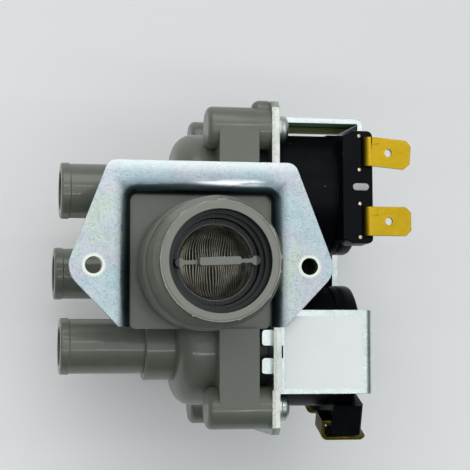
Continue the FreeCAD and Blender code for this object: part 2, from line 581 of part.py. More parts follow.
LOW_FRONT = "(front_drop - %s)" % RELIEF
INNER_HIGH = slant_high("%s - plate_gap / 2" % VALVE_Y)
top_front = "(%s - bracket_clear)" % BLOCK_FRONT
step_out = "(neck_high + bend_radius + relief_gap - %s)" % VALVE_Y
wing_in = "(bracket_leg + relief_gap / 2 - %s)" % VALVE_Y
PLATES = {
    "top": [
        (INNER, INNER_HIGH), ("-" + slant_out("plate_rear"), "-plate_rear"),
        ("plate_reach - plate_chamfer", "-plate_rear"), ("plate_reach", "plate_chamfer - plate_rear"),
        ("plate_reach", top_front + " - plate_chamfer"), ("plate_reach - plate_chamfer", top_front),
        (step_out, top_front), (step_out, LOW_FRONT), (INNER, LOW_FRONT),
    ],
    "bottom": [
        (INNER, INNER_HIGH), ("-" + slant_out("plate_wing"), "-plate_wing"), ("wing_width", "-plate_wing"),
        ("wing_width", "-plate_rear"), ("plate_reach - plate_chamfer", "-plate_rear"),
        ("plate_reach", "plate_chamfer - plate_rear"), ("plate_reach", top_front + " - plate_chamfer"),
        ("plate_reach - plate_chamfer", top_front), ("wing_width", top_front), ("wing_width", "plate_wing"),
        (wing_in, "plate_wing"), (wing_in, LOW_FRONT), (INNER, LOW_FRONT),
    ],
    "middle": [
        ("wing_out + boss_radius", slant_high("wing_out + boss_radius", CUT_REAR, "+")),
        (slant_out("middle_cap", CUT_REAR), "middle_cap"), ("-" + slant_out("middle_cap", CUT_REAR), "middle_cap"),
        ("-wing_out - boss_radius", slant_high("wing_out + boss_radius", CUT_REAR, "+")),
        ("-wing_out - boss_radius", "wing_high - boss_radius"), ("-middle_side", "-boss_radius"),
        ("-middle_side", "-plate_wing"), ("middle_side", "-plate_wing"), ("middle_side", "-boss_radius"),
        ("wing_out + boss_radius", "wing_high - boss_radius"),
    ],
}


def mirrored(points, side):
    """Points with the distance outwards turned into the frame's Y."""
    return [("%s * (%s)" % (side, out), high) for out, high in points]


def yoke(name, place, turn):
    """Strap bent into a U over the coil, with two tongues on each wall."""
    body = new_body(name, place, (1, 0, 0), turn)
    outer = "(yoke_inner + yoke_thick)"
    inside_end = "(yoke_end - yoke_thick)"
    block(body, "XZ", ("0", "0", "-yoke_width / 2"), [
        (YOKE_X, "-" + outer), ("yoke_end - yoke_bend", "-" + outer, "yoke_bend"), ("yoke_end", "yoke_bend - " + outer),
        ("yoke_end", outer + " - yoke_bend", "yoke_bend"), ("yoke_end - yoke_bend", outer), (YOKE_X, outer),
        (YOKE_X, "yoke_inner"), (inside_end + " - yoke_fold", "yoke_inner", "-yoke_fold"),
        (inside_end, "yoke_inner - yoke_fold"), (inside_end, "yoke_fold - yoke_inner", "-yoke_fold"),
        (inside_end + " - yoke_fold", "-yoke_inner"), (YOKE_X, "-yoke_inner"),
    ], "yoke_width")
    tip = "(%s - tongue_long)" % PLATE_X
    for height in ("yoke_inner", "-" + outer):
        for centre in ("tongue_out", "-tongue_out"):
            low = "(%s - tongue_width / 2)" % centre
            high = "(%s + tongue_width / 2)" % centre
            block(body, "XY", ("0", "0", height), [
                (YOKE_X, low), (YOKE_X, high), (tip + " + tongue_round", high, "tongue_round"),
                (tip, high + " - tongue_round"), (tip, low + " + tongue_round", "tongue_round"),
                (tip + " + tongue_round", low),
            ], "yoke_thick")
    gap = "(tongue_out - tongue_width / 2)"
    block(body, "XY", ("0", "0", "-" + outer), rectangle("-" + gap, YOKE_X, gap, YOKE_X + " + tongue_notch"),
          "2 * " + outer, cut=True)


def spring(name, place):
    """Square wire wound between the armature's pocket and the closed end of the tube."""
    body = new_body(name, place)
    start = "(%s + armature_long - pocket_deep)" % ARMATURE_X
    sketch = new_sketch(body, "XY", ("0", "0", "0"))
    outline(sketch, rectangle("spring_radius - spring_wire / 2", start, "spring_radius + spring_wire / 2",
                              start + " + spring_wire"))
    helix = body.newObject("PartDesign::AdditiveHelix", "winding")
    helix.Profile = sketch
    helix.ReferenceAxis = (sketch, ["H_Axis"])
    helix.Mode = "height-turns-growth"
    helix.setExpression("Height", bind("tube_end - tube_cap - spring_wire - " + start))
    helix.setExpression("Turns", bind("spring_turns"))


def terminal(name, place, turn, across, root, lean="0", foot=False):
    """Flat blade that rises from the block and turns to the right, with a chamfered tip and a hole."""
    body = new_body(name, place, (1, 0, 0), turn)
    top = "(block_top + tab_rise)"
    low = "foot_height" if foot else "(block_top - tab_deep)"
    bend = "(2 * tab_thick)"
    points = [
        (root, low), ("%s + tab_thick" % root, low), ("%s + tab_thick" % root, "%s - %s" % (top, bend), "-tab_thick"),
        ("%s + %s" % (root, bend), "%s - tab_thick" % top), ("%s + %s" % (root, bend), top, bend),
        (root, "%s - %s" % (top, bend)),
    ]
    block(body, "XZ", ("0", "0", "-(%s) - tab_width / 2" % across), points, "tab_width")
    if foot:
        plan = rectangle("(%s) - tab_width / 2" % across, root, "(%s) + tab_width / 2" % across, root + " + foot_long")
        block(body, "XY", ("0", "0", low), plan, "tab_thick")

    def spot(along, out):
        turned_along = "(%s) * cos(%s * 1 deg) + (%s) * sin(%s * 1 deg)" % (along, lean, out, lean)
        turned_out = "(%s) * cos(%s * 1 deg) - (%s) * sin(%s * 1 deg)" % (out, lean, along, lean)
        return ("%s + %s + %s" % (root, bend, turned_along), "%s + %s" % (across, turned_out))

    long = "tab_long - 2 * tab_thick"
    half = "tab_width / 2"
    block(body, "XY", ("0", "0", top + " - tab_thick"), [
        spot("0", "-" + half), spot(long + " - tab_chamfer", "-" + half), spot(long, "tab_chamfer - " + half),
        spot(long, half + " - tab_chamfer"), spot(long + " - tab_chamfer", half), spot("0", half),
    ], "tab_thick")
    hole = spot(long + " - tab_hole_back", "0")
    post(body, "XY", ("0", "0", top + " - tab_thick"), [hole], "tab_hole", "tab_thick", cut=True)


def turned_spot(out, high):
    """A place in the lower yoke's directions, seen from the turned coil."""
    across = "(%s) * sin(low_turn * 1 deg) - (%s) * cos(low_turn * 1 deg)" % (high, out)
    up = "(%s) * sin(low_turn * 1 deg) + (%s) * cos(low_turn * 1 deg)" % (out, high)
    return (across, up)


for name, valve in VALVES.items():
    axis = ("0", valve["y"], valve["z"])
    side = valve["side"]

    plate = new_body(name + "_flange_plate", axis)
    block(plate, "YZ", ("0", "0", PLATE_X), mirrored(PLATES[name], side), "plate_thick")
    post(plate, "YZ", ("0", "0", PLATE_X), [("0", "0")], "tube_radius + tube_gap", "plate_thick", cut=True)
    screw_spots = mirrored(valve["screws"], side)
    post(plate, "YZ", ("0", "0", PLATE_X), screw_spots, "shank_radius + hole_gap", "plate_thick", cut=True)
    slots = new_sketch(plate, "YZ", ("0", "0", PLATE_X))
    wall = ("yoke_inner - slot_gap", "yoke_inner + yoke_thick + slot_gap")
    for centre in ("tongue_out", "-tongue_out"):
        tongue = ("%s - tongue_width / 2 - slot_gap" % centre, "%s + tongue_width / 2 + slot_gap" % centre)
        for sign in ("", "-"):
            near = "%s(%s)" % (sign, wall[0])
            far = "%s(%s)" % (sign, wall[1])
            if name == "top":
                outline(slots, rectangle(tongue[0], near, tongue[1], far))
            else:
                shift = " - yoke_shift" if name == "bottom" else ""
                outline(slots, rectangle(near, tongue[0] + shift, far, tongue[1] + shift))
    pad(plate, slots, "plate_thick", cut=True)

    yoke_place = ("0", "-%s - yoke_shift" % VALVE_Y, valve["z"]) if name == "bottom" else axis
    yoke(name + "_yoke", yoke_place, "90" if name == "top" else "0")

    tube = new_body(name + "_guide_tube", axis)
    turned(tube, [
        ("joint_x", "dome_radius"), ("joint_x + dome_deep", "dome_radius"), ("joint_x + dome_deep", "tube_bore"),
        ("tube_end - tube_cap", "tube_bore"), ("tube_end - tube_cap", "0"), ("tube_end", "0"),
        ("tube_end", "tube_radius"), (PLATE_X, "tube_radius"), (PLATE_X, "tube_flange"), ("joint_x", "tube_flange"),
    ])

    diaphragm = new_body(name + "_diaphragm", axis)
    web_low = "%s + membrane_thick - membrane_web" % SEAT_X
    turned(diaphragm, [
        (SEAT_X, "insert_hub"), (SEAT_X + " + membrane_thick", "insert_hub"),
        (SEAT_X + " + membrane_thick", "dome_radius + membrane_web"), ("joint_x", "dome_radius + membrane_web"),
        ("joint_x", "rim_radius"), ("joint_x - rim_thick", "rim_radius"), ("joint_x - rim_thick", "annulus_radius"),
        (web_low, "annulus_radius"), (web_low, "membrane_out"), (SEAT_X, "membrane_out"),
    ])

    insert = new_body(name + "_diaphragm_insert", axis)
    turned(insert, [
        (SEAT_X + " - insert_deep", "pilot_hole"), (NOZZLE_X, "pilot_hole"), (NOZZLE_X, "nozzle_radius"),
        (NOZZLE_X + " - nozzle_high", "nozzle_radius"), (NOZZLE_X + " - nozzle_high", "insert_disc"),
        (SEAT_X + " + membrane_thick", "insert_disc"), (SEAT_X + " + membrane_thick", "insert_hub"),
        (SEAT_X, "insert_hub"), (SEAT_X, "insert_foot"), (SEAT_X + " - insert_deep", "insert_foot"),
    ])

    armature = new_body(name + "_armature", axis)
    armature_end = "(%s + armature_long)" % ARMATURE_X
    plug_end = "(%s + plug_long - plug_out)" % ARMATURE_X
    turned(armature, [
        (ARMATURE_X, "plug_radius"), (plug_end, "plug_radius"), (plug_end, "0"),
        (armature_end + " - pocket_deep", "0"), (armature_end + " - pocket_deep", "armature_pocket"),
        (armature_end, "armature_pocket"), (armature_end, "tube_bore - armature_gap"),
        (ARMATURE_X + " + plug_out", "tube_bore - armature_gap"),
        (ARMATURE_X, "tube_bore - armature_gap - plug_out"),
    ])
    seal = new_body(name + "_armature_seal", axis)
    turned(seal, rectangle("0", NOZZLE_X, "plug_radius", plug_end))
    spring(name + "_return_spring", axis)

    former = new_body(name + "_coil_former", axis, (1, 0, 0), valve["turn"])
    bore = "(tube_radius + tube_gap)"
    core = "(tube_radius + tube_gap + bobbin_wall)"
    former_end = "yoke_end - yoke_thick - tube_gap"
    turned(former, [
        ("coil_start", bore), (former_end, bore), (former_end, core), ("block_start + bobbin_thick", core),
        ("block_start + bobbin_thick", "bobbin_flange"), ("block_start", "bobbin_flange"), ("block_start", core),
        ("coil_start + flange_thick", core), ("coil_start + flange_thick", "coil_radius"),
        ("coil_start", "coil_radius"),
    ])
    block_low = "(yoke_width / 2 + block_gap)"
    block(former, "XY", ("0", "0", block_low), [
        ("block_start", "block_cut - block_wide"), ("block_start + block_slope", "-block_wide"),
        ("block_end - block_round", "-block_wide", "block_round"), ("block_end", "block_round - block_wide"),
        ("block_end", "block_wide - block_round", "block_round"), ("block_end - block_round", "block_wide"),
        ("block_start + block_slope", "block_wide"), ("block_start", "block_wide - block_cut"),
    ], "block_top - " + block_low)
    for across in ("tab_out", "-tab_out"):
        low = "%s - tab_width / 2" % across
        high = "%s + tab_width / 2" % across
        if name == "bottom":
            foot = rectangle("foot_height", low, "foot_height + tab_thick", high)
            block(former, "YZ", ("0", "0", "block_start"), foot, "low_root + foot_long - block_start", cut=True)
        else:
            slot = rectangle(low, "tab_root", high, "tab_root + tab_thick")
            block(former, "XY", ("0", "0", "block_top - tab_deep"), slot, "tab_deep", cut=True)
    if name == "bottom":
        edge = "(yoke_width / 2 + yoke_shift + block_gap / 2)"
        spread = "(2 * block_wide)"
        room = []
        for out, high in ((edge, "-" + spread), (edge, spread), ("-" + spread, spread), ("-" + spread, "-" + spread)):
            room.append(turned_spot(out, high))
        block(former, "YZ", ("0", "0", former_end), room, "block_end - (%s)" % former_end, cut=True)
        wall = "(block_gap / 2 - yoke_inner)"
        room = []
        for out, high in ((edge, "-" + spread), (edge, wall), ("0", wall), ("0", "-" + spread)):
            room.append(turned_spot(out, high))
        block(former, "YZ", ("0", "0", "block_start"), room, "%s - block_start" % former_end, cut=True)

    winding = new_body(name + "_coil_winding", axis)
    turned(winding, rectangle(core, "coil_start + flange_thick", "coil_radius - cover_thick", "block_start"))
    cover = new_body(name + "_coil_sleeve", axis)
    turned(cover, rectangle("coil_radius - cover_thick", "coil_start + flange_thick", "coil_radius", "block_start"))

    low = name == "bottom"
    for letter, across in (("a", "tab_out"), ("b", "-tab_out")):
        lean = "tab_lean" if (name, letter) == ("top", "a") else "0"
        root = "low_root" if low else "tab_root"
        terminal("%s_terminal_%s" % (name, letter), axis, valve["turn"], across, root, lean, low)

    screws = new_body(name + "_screws", axis)
    for across, high in screw_spots:
        head_end = YOKE_X + " + head_high"
        turned(screws, [
            (YOKE_X + " - shank_long", "0"), (head_end, "0"), (head_end, "head_radius - head_round"),
            (head_end + " - head_round", "head_radius"), (YOKE_X, "head_radius"), (YOKE_X, "shank_radius"),
            (YOKE_X + " - shank_long + shank_radius / 2", "shank_radius"),
            (YOKE_X + " - shank_long", "shank_radius / 2"),
        ], ("0", across, high))
    for long, wide in (("recess_long", "recess_wide"), ("recess_wide", "recess_long")):
        recess = new_sketch(screws, "YZ", ("0", "0", YOKE_X + " + head_high - recess_deep"))
        for across, high in screw_spots:
            outline(recess, rectangle("(%s) - %s" % (high, wide), "(%s) - %s" % (across, long),
                                      "(%s) + %s" % (high, wide), "(%s) + %s" % (across, long)))
        pad(screws, recess, "recess_deep", cut=True)

# Paper label on the front wall of the lower yoke.
label = new_body("label")
label_y = "(-%s - yoke_shift - label_shift)" % VALVE_Y
block(label, "XY", ("0", "0", "yoke_inner + yoke_thick - front_drop"), rectangle(
    label_y + " - label_high / 2", "label_start", label_y + " + label_high / 2", "label_start + label_long",
), "label_thick")

document.recompute()
problems = []
for item in document.Objects:
    if "Invalid" in item.State or "Error" in item.State:
        problems.append("%s: %s" % (item.Name, item.State))
    elif item.TypeId in ("PartDesign::Pocket", "PartDesign::Groove"):
        if item.Shape.isNull() or item.Shape.Volume > item.BaseFeature.Shape.Volume - 0.001:
            problems.append("%s of %s cuts nothing" % (item.Name, item.getParent().Label))
bodies = [item for item in document.Objects if item.TypeId == "PartDesign::Body"]
for item in bodies:
    if item.Shape.isNull() or not item.Shape.isValid():
        problems.append("%s has no valid shape" % item.Label)
if problems:
    raise RuntimeError("; ".join(problems))
os.makedirs("parts", exist_ok=True)
for item in bodies:
    item.Shape.exportStep("parts/%s.step" % item.Label)
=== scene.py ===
import math

import bmesh
import bpy
from mathutils import Matrix, Vector, noise


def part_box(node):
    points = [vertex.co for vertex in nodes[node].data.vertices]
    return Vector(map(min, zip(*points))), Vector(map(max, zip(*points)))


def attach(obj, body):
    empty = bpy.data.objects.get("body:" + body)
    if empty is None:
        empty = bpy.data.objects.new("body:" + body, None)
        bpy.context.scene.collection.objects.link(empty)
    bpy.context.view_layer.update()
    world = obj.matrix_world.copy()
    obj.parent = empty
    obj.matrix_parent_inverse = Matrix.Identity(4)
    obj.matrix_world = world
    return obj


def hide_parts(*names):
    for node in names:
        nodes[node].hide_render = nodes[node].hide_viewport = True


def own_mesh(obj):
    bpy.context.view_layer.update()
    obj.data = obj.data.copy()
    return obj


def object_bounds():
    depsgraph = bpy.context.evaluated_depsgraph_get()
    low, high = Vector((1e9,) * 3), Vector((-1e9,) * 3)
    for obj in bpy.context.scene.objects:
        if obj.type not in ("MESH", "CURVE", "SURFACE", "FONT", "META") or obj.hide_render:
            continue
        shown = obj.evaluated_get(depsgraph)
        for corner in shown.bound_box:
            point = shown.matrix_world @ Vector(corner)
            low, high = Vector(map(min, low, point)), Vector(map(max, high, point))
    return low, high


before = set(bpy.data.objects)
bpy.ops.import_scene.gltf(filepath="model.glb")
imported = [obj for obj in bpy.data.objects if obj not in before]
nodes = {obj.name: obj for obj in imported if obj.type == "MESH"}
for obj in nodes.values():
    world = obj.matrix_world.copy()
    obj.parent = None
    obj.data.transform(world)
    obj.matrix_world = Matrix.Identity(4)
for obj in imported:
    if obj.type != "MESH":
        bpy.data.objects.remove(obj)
cad_low, cad_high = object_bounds()
bpy.context.scene.view_settings.view_transform = "Standard"

# Camera: it stands over the valve, which lies on its back, and looks down into the inlet, turned a little
# towards the coils and tipped towards the bracket's closed edge.
camera_turn = math.radians(10.5)
camera_tip = math.radians(3.8)
camera_distance = 0.295
camera_right = 0.00271
camera_up = 0.00504
camera_lens = 114.9
camera_near = 0.01
mouth_centre = Vector((0, 0, 0.022))
forward = Vector((
    math.sin(camera_turn) * math.cos(camera_tip), math.sin(camera_tip),
    -math.cos(camera_turn) * math.cos(camera_tip),
))
right = Vector((math.cos(camera_turn), 0, math.sin(camera_turn)))
down = forward.cross(right)
eye = mouth_centre - forward * camera_distance + right * camera_right - down * camera_up
camera = bpy.data.objects.new("camera", bpy.data.cameras.new("camera"))
camera.data.lens = camera_lens
camera.data.clip_start = camera_near
turn = Matrix((right, -down, -forward)).transposed().to_4x4()
camera.matrix_world = Matrix.Translation(eye) @ turn
bpy.context.scene.collection.objects.link(camera)
bpy.context.scene.camera = camera

# Studio: a pale floor under the valve, its colour painted lighter towards one side as a painted light
# falloff, and a soft room that is bright overhead and towards the bracket's closed edge, and dim towards the
# horizon. Two narrow strip lamps overhead draw the fine lines on round surfaces, and a broad lamp behind the
# closed edge gives the light its direction.
floor_gap = 0.0004
floor_half = 3.0
floor_painted_falloff = (-1.6, -4.4, 0)
floor_cloud_scale = 6.0
floor_cloud_share = 0.2
floor_fade = (-0.3, 0.5)
floor_dim = (0.85, 0.855, 0.85)
floor_bright = (0.99, 0.99, 0.975)
floor_glow = (1.0, 0.80, 0.76, 1)
floor_lift = 0.055
room_lean = (-0.06, 0.42, 0.90)
room_shades = [
    (0.0, (0.055, 0.080, 0.085)), (0.22, (0.10, 0.13, 0.14)), (0.62, (0.42, 0.46, 0.48)),
    (1.0, (0.66, 0.70, 0.72)),
]
lamp_aim = Vector((0.005, 0, -0.02))
lamps = [
    ("strip_upper", (0.0, 0.185, 0.56), (0.75, 0.010), 0.30),
    ("strip_lower", (0.0, -0.165, 0.56), (0.75, 0.010), 0.34),
    ("broad", (-0.10, 0.75, 0.60), (0.60, 0.60), 2.2),
    ("overhead", (0.10, 0.05, 1.05), (0.80, 0.80), 1.15),
]


def add(tree, kind, settings=None, **inputs):
    """A shader node with its settings, and its inputs as values or as links from other sockets."""
    item = tree.nodes.new("ShaderNode" + kind)
    for word, amount in (settings or {}).items():
        setattr(item, word, amount)
    for word, amount in inputs.items():
        numbered = word[0] == "i" and word[1:].isdigit()
        socket = item.inputs[int(word[1:]) if numbered else word.replace("_", " ")]
        if isinstance(amount, bpy.types.NodeSocket):
            tree.links.new(amount, socket)
        else:
            socket.default_value = amount
    return item


def maths(tree, operation, *values):
    """One step of arithmetic on numbers or sockets."""
    inputs = {"i%d" % number: value for number, value in enumerate(values)}
    return add(tree, "Math", {"operation": operation}, **inputs).outputs[0]


def between(tree, value, span, ends=(0.0, 1.0), smooth=False):
    """A mask that goes from one end to the other while a value goes through a span."""
    kind = {"interpolation_type": "SMOOTHSTEP" if smooth else "LINEAR"}
    return add(tree, "MapRange", kind, Value=value, From_Min=span[0], From_Max=span[1],
               To_Min=ends[0], To_Max=ends[1]).outputs[0]


def places(tree):
    """The place of each spot in its piece's own metres."""
    return add(tree, "TexCoord").outputs["Object"]


def clouds(tree, where, scale, detail=2.0, **more):
    """Soft irregular clouds."""
    return add(tree, "TexNoise", Vector=where, Scale=scale, Detail=detail, **more).outputs["Fac"]


def mixed(tree, factor, low, high):
    """A colour between two, by a number or a mask."""
    blend = add(tree, "Mix", {"data_type": "RGBA"}, i0=factor)
    for index, colour in ((6, low), (7, high)):
        if isinstance(colour, bpy.types.NodeSocket):
            tree.links.new(colour, blend.inputs[index])
        else:
            blend.inputs[index].default_value = (*colour, 1)
    return blend.outputs[2]


def ramped(tree, factor, steps):
    """A colour ramp through (place, colour) steps, the lowest first."""
    ramp = add(tree, "ValToRGB", Fac=factor)
    stops = ramp.color_ramp.elements
    for number, (spot, colour) in enumerate([steps[0], steps[-1]] + steps[1:-1]):
        stop = stops[number] if number < 2 else stops.new(spot)
        stop.position = spot
        stop.color = (*colour, 1)
    return ramp.outputs["Color"]


def new_material(name, **surface):
    """A material whose surface is one Principled shader, given back with its tree and that shader."""
    material = bpy.data.materials.new(name)
    material.use_nodes = True
    tree = material.node_tree
    shader = tree.nodes["Principled BSDF"]
    for word, amount in surface.items():
        shader.inputs[word.replace("_", " ")].default_value = amount
    return material, tree, shader


floor_mesh = bpy.data.meshes.new("floor")
corners = [(x * floor_half, y * floor_half) for x, y in ((-1, -1), (1, -1), (1, 1), (-1, 1))]
floor_mesh.from_pydata([(x, y, cad_low.z - floor_gap) for x, y in corners], [], [(0, 1, 2, 3)])
floor = bpy.data.objects.new("floor", floor_mesh)
bpy.context.scene.collection.objects.link(floor)
floor_paint, tree, shader = new_material("floor paint", Roughness=0.7, Specular_IOR_Level=0.1)
where = places(tree)
# Painted light falloff: the floor's colour goes from dim to bright across it, broken by soft clouds.
slope = add(tree, "VectorMath", {"operation": "DOT_PRODUCT"}, i0=where, i1=floor_painted_falloff).outputs["Value"]
cloud = clouds(tree, where, floor_cloud_scale)
slope = maths(tree, "MULTIPLY_ADD", cloud, floor_cloud_share, slope)
shade = mixed(tree, between(tree, slope, floor_fade), floor_dim, floor_bright)
tree.links.new(shade, shader.inputs["Base Color"])
shader.inputs["Emission Color"].default_value = floor_glow
seen = maths(tree, "MULTIPLY", add(tree, "LightPath").outputs["Is Camera Ray"], floor_lift)
tree.links.new(seen, shader.inputs["Emission Strength"])
floor_mesh.materials.append(floor_paint)

world = bpy.data.worlds.new("room")
bpy.context.scene.world = world
world.use_nodes = True
room = world.node_tree
outward = add(room, "TexCoord").outputs["Generated"]
lean = add(room, "VectorMath", {"operation": "DOT_PRODUCT"}, i0=outward, i1=room_lean).outputs["Value"]
room.links.new(ramped(room, lean, room_shades), room.nodes["Background"].inputs["Color"])
for name, spot, size, power in lamps:
    lamp = bpy.data.lights.new(name, "AREA")
    lamp.shape = "RECTANGLE"
    lamp.size, lamp.size_y = size
    lamp.energy = power
    stand = bpy.data.objects.new(name, lamp)
    stand.location = spot
    stand.rotation_mode = "QUATERNION"
    stand.rotation_quaternion = (lamp_aim - Vector(spot)).to_track_quat("-Z", "Y")
    bpy.context.scene.collection.objects.link(stand)

# Housing: one grey moulding of glass-filled nylon with the inlet, neck, three chambers and their outlets. Its
# edges carry a small radius from the mould and the skin a faint grain, a thin gloss and paler flow marks. The
# top face of the inlet's rim is paler, and the steps inside the inlet are darkened as painted shade and lose
# their gloss.
housing_edge = 0.00018
weld_gap = 0.000002
flat_angle = math.radians(1.0)
edge_angle = math.radians(28)
smooth_cosine = math.cos(math.radians(40))
grain_size = 3200.0
cloud_size = 160.0
speck_scale = 900.0
speck_span = (0.05, 0.13)
speck_chance = 0.93
shade_span = (0.3, 0.7)
gloss_span = (0.25, 0.75)
grain_depth = 0.00001
dust_shade = (0.3, 0.3, 0.27)
rim_height = 0.0219
mouth_floor = 0.0
mouth_radius = 0.01042
housing_dark = (0.113, 0.120, 0.092)
housing_pale = (0.138, 0.145, 0.112)
rim_shade = (0.215, 0.220, 0.180)
mouth_painted_shade = (0.006, 0.012, 0.010)
housing_coat = 0.55


def weigh_normals(mesh):
    """Sets the corners' normals by area, so that wide flat faces stay flat beside their rounded edges."""
    around = [[] for vertex in mesh.vertices]
    for face in mesh.polygons:
        for vertex in face.vertices:
            around[vertex].append((face.normal.copy(), face.area))
    normals = []
    for face in mesh.polygons:
        for vertex in face.vertices:
            total = Vector()
            for normal, area in around[vertex]:
                if normal.dot(face.normal) > smooth_cosine:
                    total += normal * area
            normals.append(total.normalized() if total.length else face.normal.copy())
    mesh.normals_split_custom_set(normals)


def softened(node, width, beyond=None):
    """A copy of a node's mesh with its vertices joined and its sharp edges rounded. What lies beyond a limit,
    given as (direction, distance), is cut away."""
    mesh = nodes[node].data.copy()
    shape = bmesh.new()
    shape.from_mesh(mesh)
    bmesh.ops.remove_doubles(shape, verts=shape.verts, dist=weld_gap)
    if beyond:
        direction, distance = beyond
        everything = shape.verts[:] + shape.edges[:] + shape.faces[:]
        cut = bmesh.ops.bisect_plane(
            shape, geom=everything, plane_co=direction * distance, plane_no=direction, clear_outer=True,
        )
        border = [item for item in cut["geom_cut"] if isinstance(item, bmesh.types.BMEdge)]
        bmesh.ops.holes_fill(shape, edges=border)
    bmesh.ops.dissolve_limit(shape, angle_limit=flat_angle, verts=shape.verts, edges=shape.edges)
    inner = [edge for edge in shape.edges if len(edge.link_faces) == 2]
    sharp = [edge for edge in inner if edge.calc_face_angle() > edge_angle]
    if width:
        bmesh.ops.bevel(
            shape, geom=sharp, offset=width, segments=2, profile=0.5, affect="EDGES", clamp_overlap=True,
        )
    shape.to_mesh(mesh)
    shape.free()
    for face in mesh.polygons:
        face.use_smooth = True
    weigh_normals(mesh)
    return mesh


def new_piece(name, mesh, material, body="valve", replaces=()):
    """An object that rides on a body of the frame and stands for the nodes that it replaces."""
    piece = bpy.data.objects.new(name, mesh)
    bpy.context.scene.collection.objects.link(piece)
    piece.data.materials.clear()
    piece.data.materials.append(material)
    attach(piece, body)
    if replaces:
        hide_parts(*replaces)
    return piece


def remade(name, node, width, material, body="valve", beyond=None):
    """A piece with a node's softened mesh, in that node's place."""
    return new_piece(name, softened(node, width, beyond), material, body, [node])


def new_group(name, outputs, **inputs):
    """A shader node group with number inputs and named outputs, and the places of its spots."""
    group = bpy.data.node_groups.new(name, "ShaderNodeTree")
    for word, amount in inputs.items():
        socket = group.interface.new_socket(word, in_out="INPUT", socket_type="NodeSocketFloat")
        socket.default_value = amount
    for word in outputs:
        group.interface.new_socket(word, in_out="OUTPUT", socket_type="NodeSocketFloat")
    entry = group.nodes.new("NodeGroupInput")
    leaving = group.nodes.new("NodeGroupOutput")
    return group, entry, leaving, places(group)


def place_group(tree, group, **inputs):
    """A group's node in a material, with the material's own values."""
    item = tree.nodes.new("ShaderNodeGroup")
    item.node_tree = group
    for word, amount in inputs.items():
        item.inputs[word].default_value = amount
    return item.outputs


grain, entry, leaving, where = new_group(
    "surface grain", ["Height", "Clouds", "Specks"], Grain=grain_size, Cloud=cloud_size,
)
fine = clouds(grain, where, entry.outputs["Grain"], detail=3.0, Roughness=0.6)
slow = clouds(grain, where, entry.outputs["Cloud"], detail=4.0, Roughness=0.65)
cells = add(grain, "TexVoronoi", Vector=where, Scale=speck_scale, Randomness=1.0)
dots = between(grain, cells.outputs["Distance"], speck_span, (1.0, 0.0))
chance = add(grain, "SeparateColor", Color=cells.outputs["Color"]).outputs["Red"]
specks = maths(grain, "MULTIPLY", dots, maths(grain, "GREATER_THAN", chance, speck_chance))
for word, mask in (("Height", fine), ("Clouds", slow), ("Specks", specks)):
    grain.links.new(mask, leaving.inputs[word])


def coated(tree, shader, colour, cloud, span, roughness, height, depth):
    """Gives a shader its colour, a gloss that goes with the clouds, and fine relief."""
    tree.links.new(colour, shader.inputs["Base Color"])
    tree.links.new(between(tree, cloud, span, roughness), shader.inputs["Roughness"])
    bump = add(tree, "Bump", Strength=1.0, Distance=depth, Height=height)
    tree.links.new(bump.outputs[0], shader.inputs["Normal"])


def moulded(name, dark, pale, roughness, depth=grain_depth, size=grain_size, dust=dust_shade, **surface):
    """A moulded plastic or rubber: two close shades, fine grain, and a few pale specks of dust. Gives the
    material, and its tree, shader and colour for a later layer."""
    material, tree, shader = new_material(name, **surface)
    marks = place_group(tree, grain, Grain=size)
    colour = mixed(tree, between(tree, marks["Clouds"], shade_span), dark, pale)
    colour = mixed(tree, marks["Specks"], colour, dust)
    coated(tree, shader, colour, marks["Clouds"], gloss_span, roughness, marks["Height"], depth)
    return material, tree, shader, colour


def axis_reach(tree, where):
    """The distance of each spot from the inlet's axis."""
    flat = add(tree, "Mapping", Vector=where, Scale=(1.0, 1.0, 0.0)).outputs[0]
    return add(tree, "VectorMath", {"operation": "LENGTH"}, i0=flat).outputs["Value"]


def product(tree, *masks):
    """Masks multiplied with each other."""
    result = masks[0]
    for mask in masks[1:]:
        result = maths(tree, "MULTIPLY", result, mask)
    return result


zones, entry, leaving, where = new_group("inlet zones", ["Rim", "Mouth"])
height = add(zones, "SeparateXYZ", Vector=where).outputs["Z"]
rim = maths(zones, "GREATER_THAN", height, rim_height)
below = maths(zones, "LESS_THAN", height, rim_height)
above = maths(zones, "GREATER_THAN", height, mouth_floor)
near = maths(zones, "LESS_THAN", axis_reach(zones, where), mouth_radius)
zones.links.new(rim, leaving.inputs["Rim"])
zones.links.new(product(zones, below, near, above), leaving.inputs["Mouth"])

housing_grey, tree, shader, colour = moulded(
    "housing grey", housing_dark, housing_pale, roughness=(0.38, 0.52), Coat_Roughness=0.09,
)
marks = place_group(tree, zones)
colour = mixed(tree, marks["Rim"], colour, rim_shade)
# Painted shade: the steps inside the inlet are darkened.
colour = mixed(tree, marks["Mouth"], colour, mouth_painted_shade)
tree.links.new(colour, shader.inputs["Base Color"])
coat = between(tree, marks["Mouth"], (0.0, 1.0), (housing_coat, 0.0))
tree.links.new(coat, shader.inputs["Coat Weight"])
remade("housing", "body_housing", housing_edge, housing_grey)

# Flash: thin torn skin of the same nylon round the outer edge of the inlet's rim, where the halves of the
# mould met and the gate was trimmed. It comes and goes round the edge, with a few longer burrs.
rim_radius = 0.01206
flash_root = rim_radius - 0.0002
flash_height = 0.02188
flash_reach = 0.00042
flash_thick = 0.00007
flash_steps = 480
tear_waves = 5.5
burr_waves = 31.0
burr_share = 0.55
tear_gaps = 0.12
tear_gain = 1.7
tear_least = 0.03
curl_waves = 17.0
curl_share = 0.35
curl_start = Vector((3, 1, 2))


def meshed(name, points, faces, sharp=None):
    """A mesh from points and faces, smooth up to an angle in degrees, or flat without one."""
    mesh = bpy.data.meshes.new(name)
    mesh.from_pydata(points, [], faces)
    if sharp:
        for face in mesh.polygons:
            face.use_smooth = True
        mesh.set_sharp_from_angle(angle=math.radians(sharp))
    return mesh


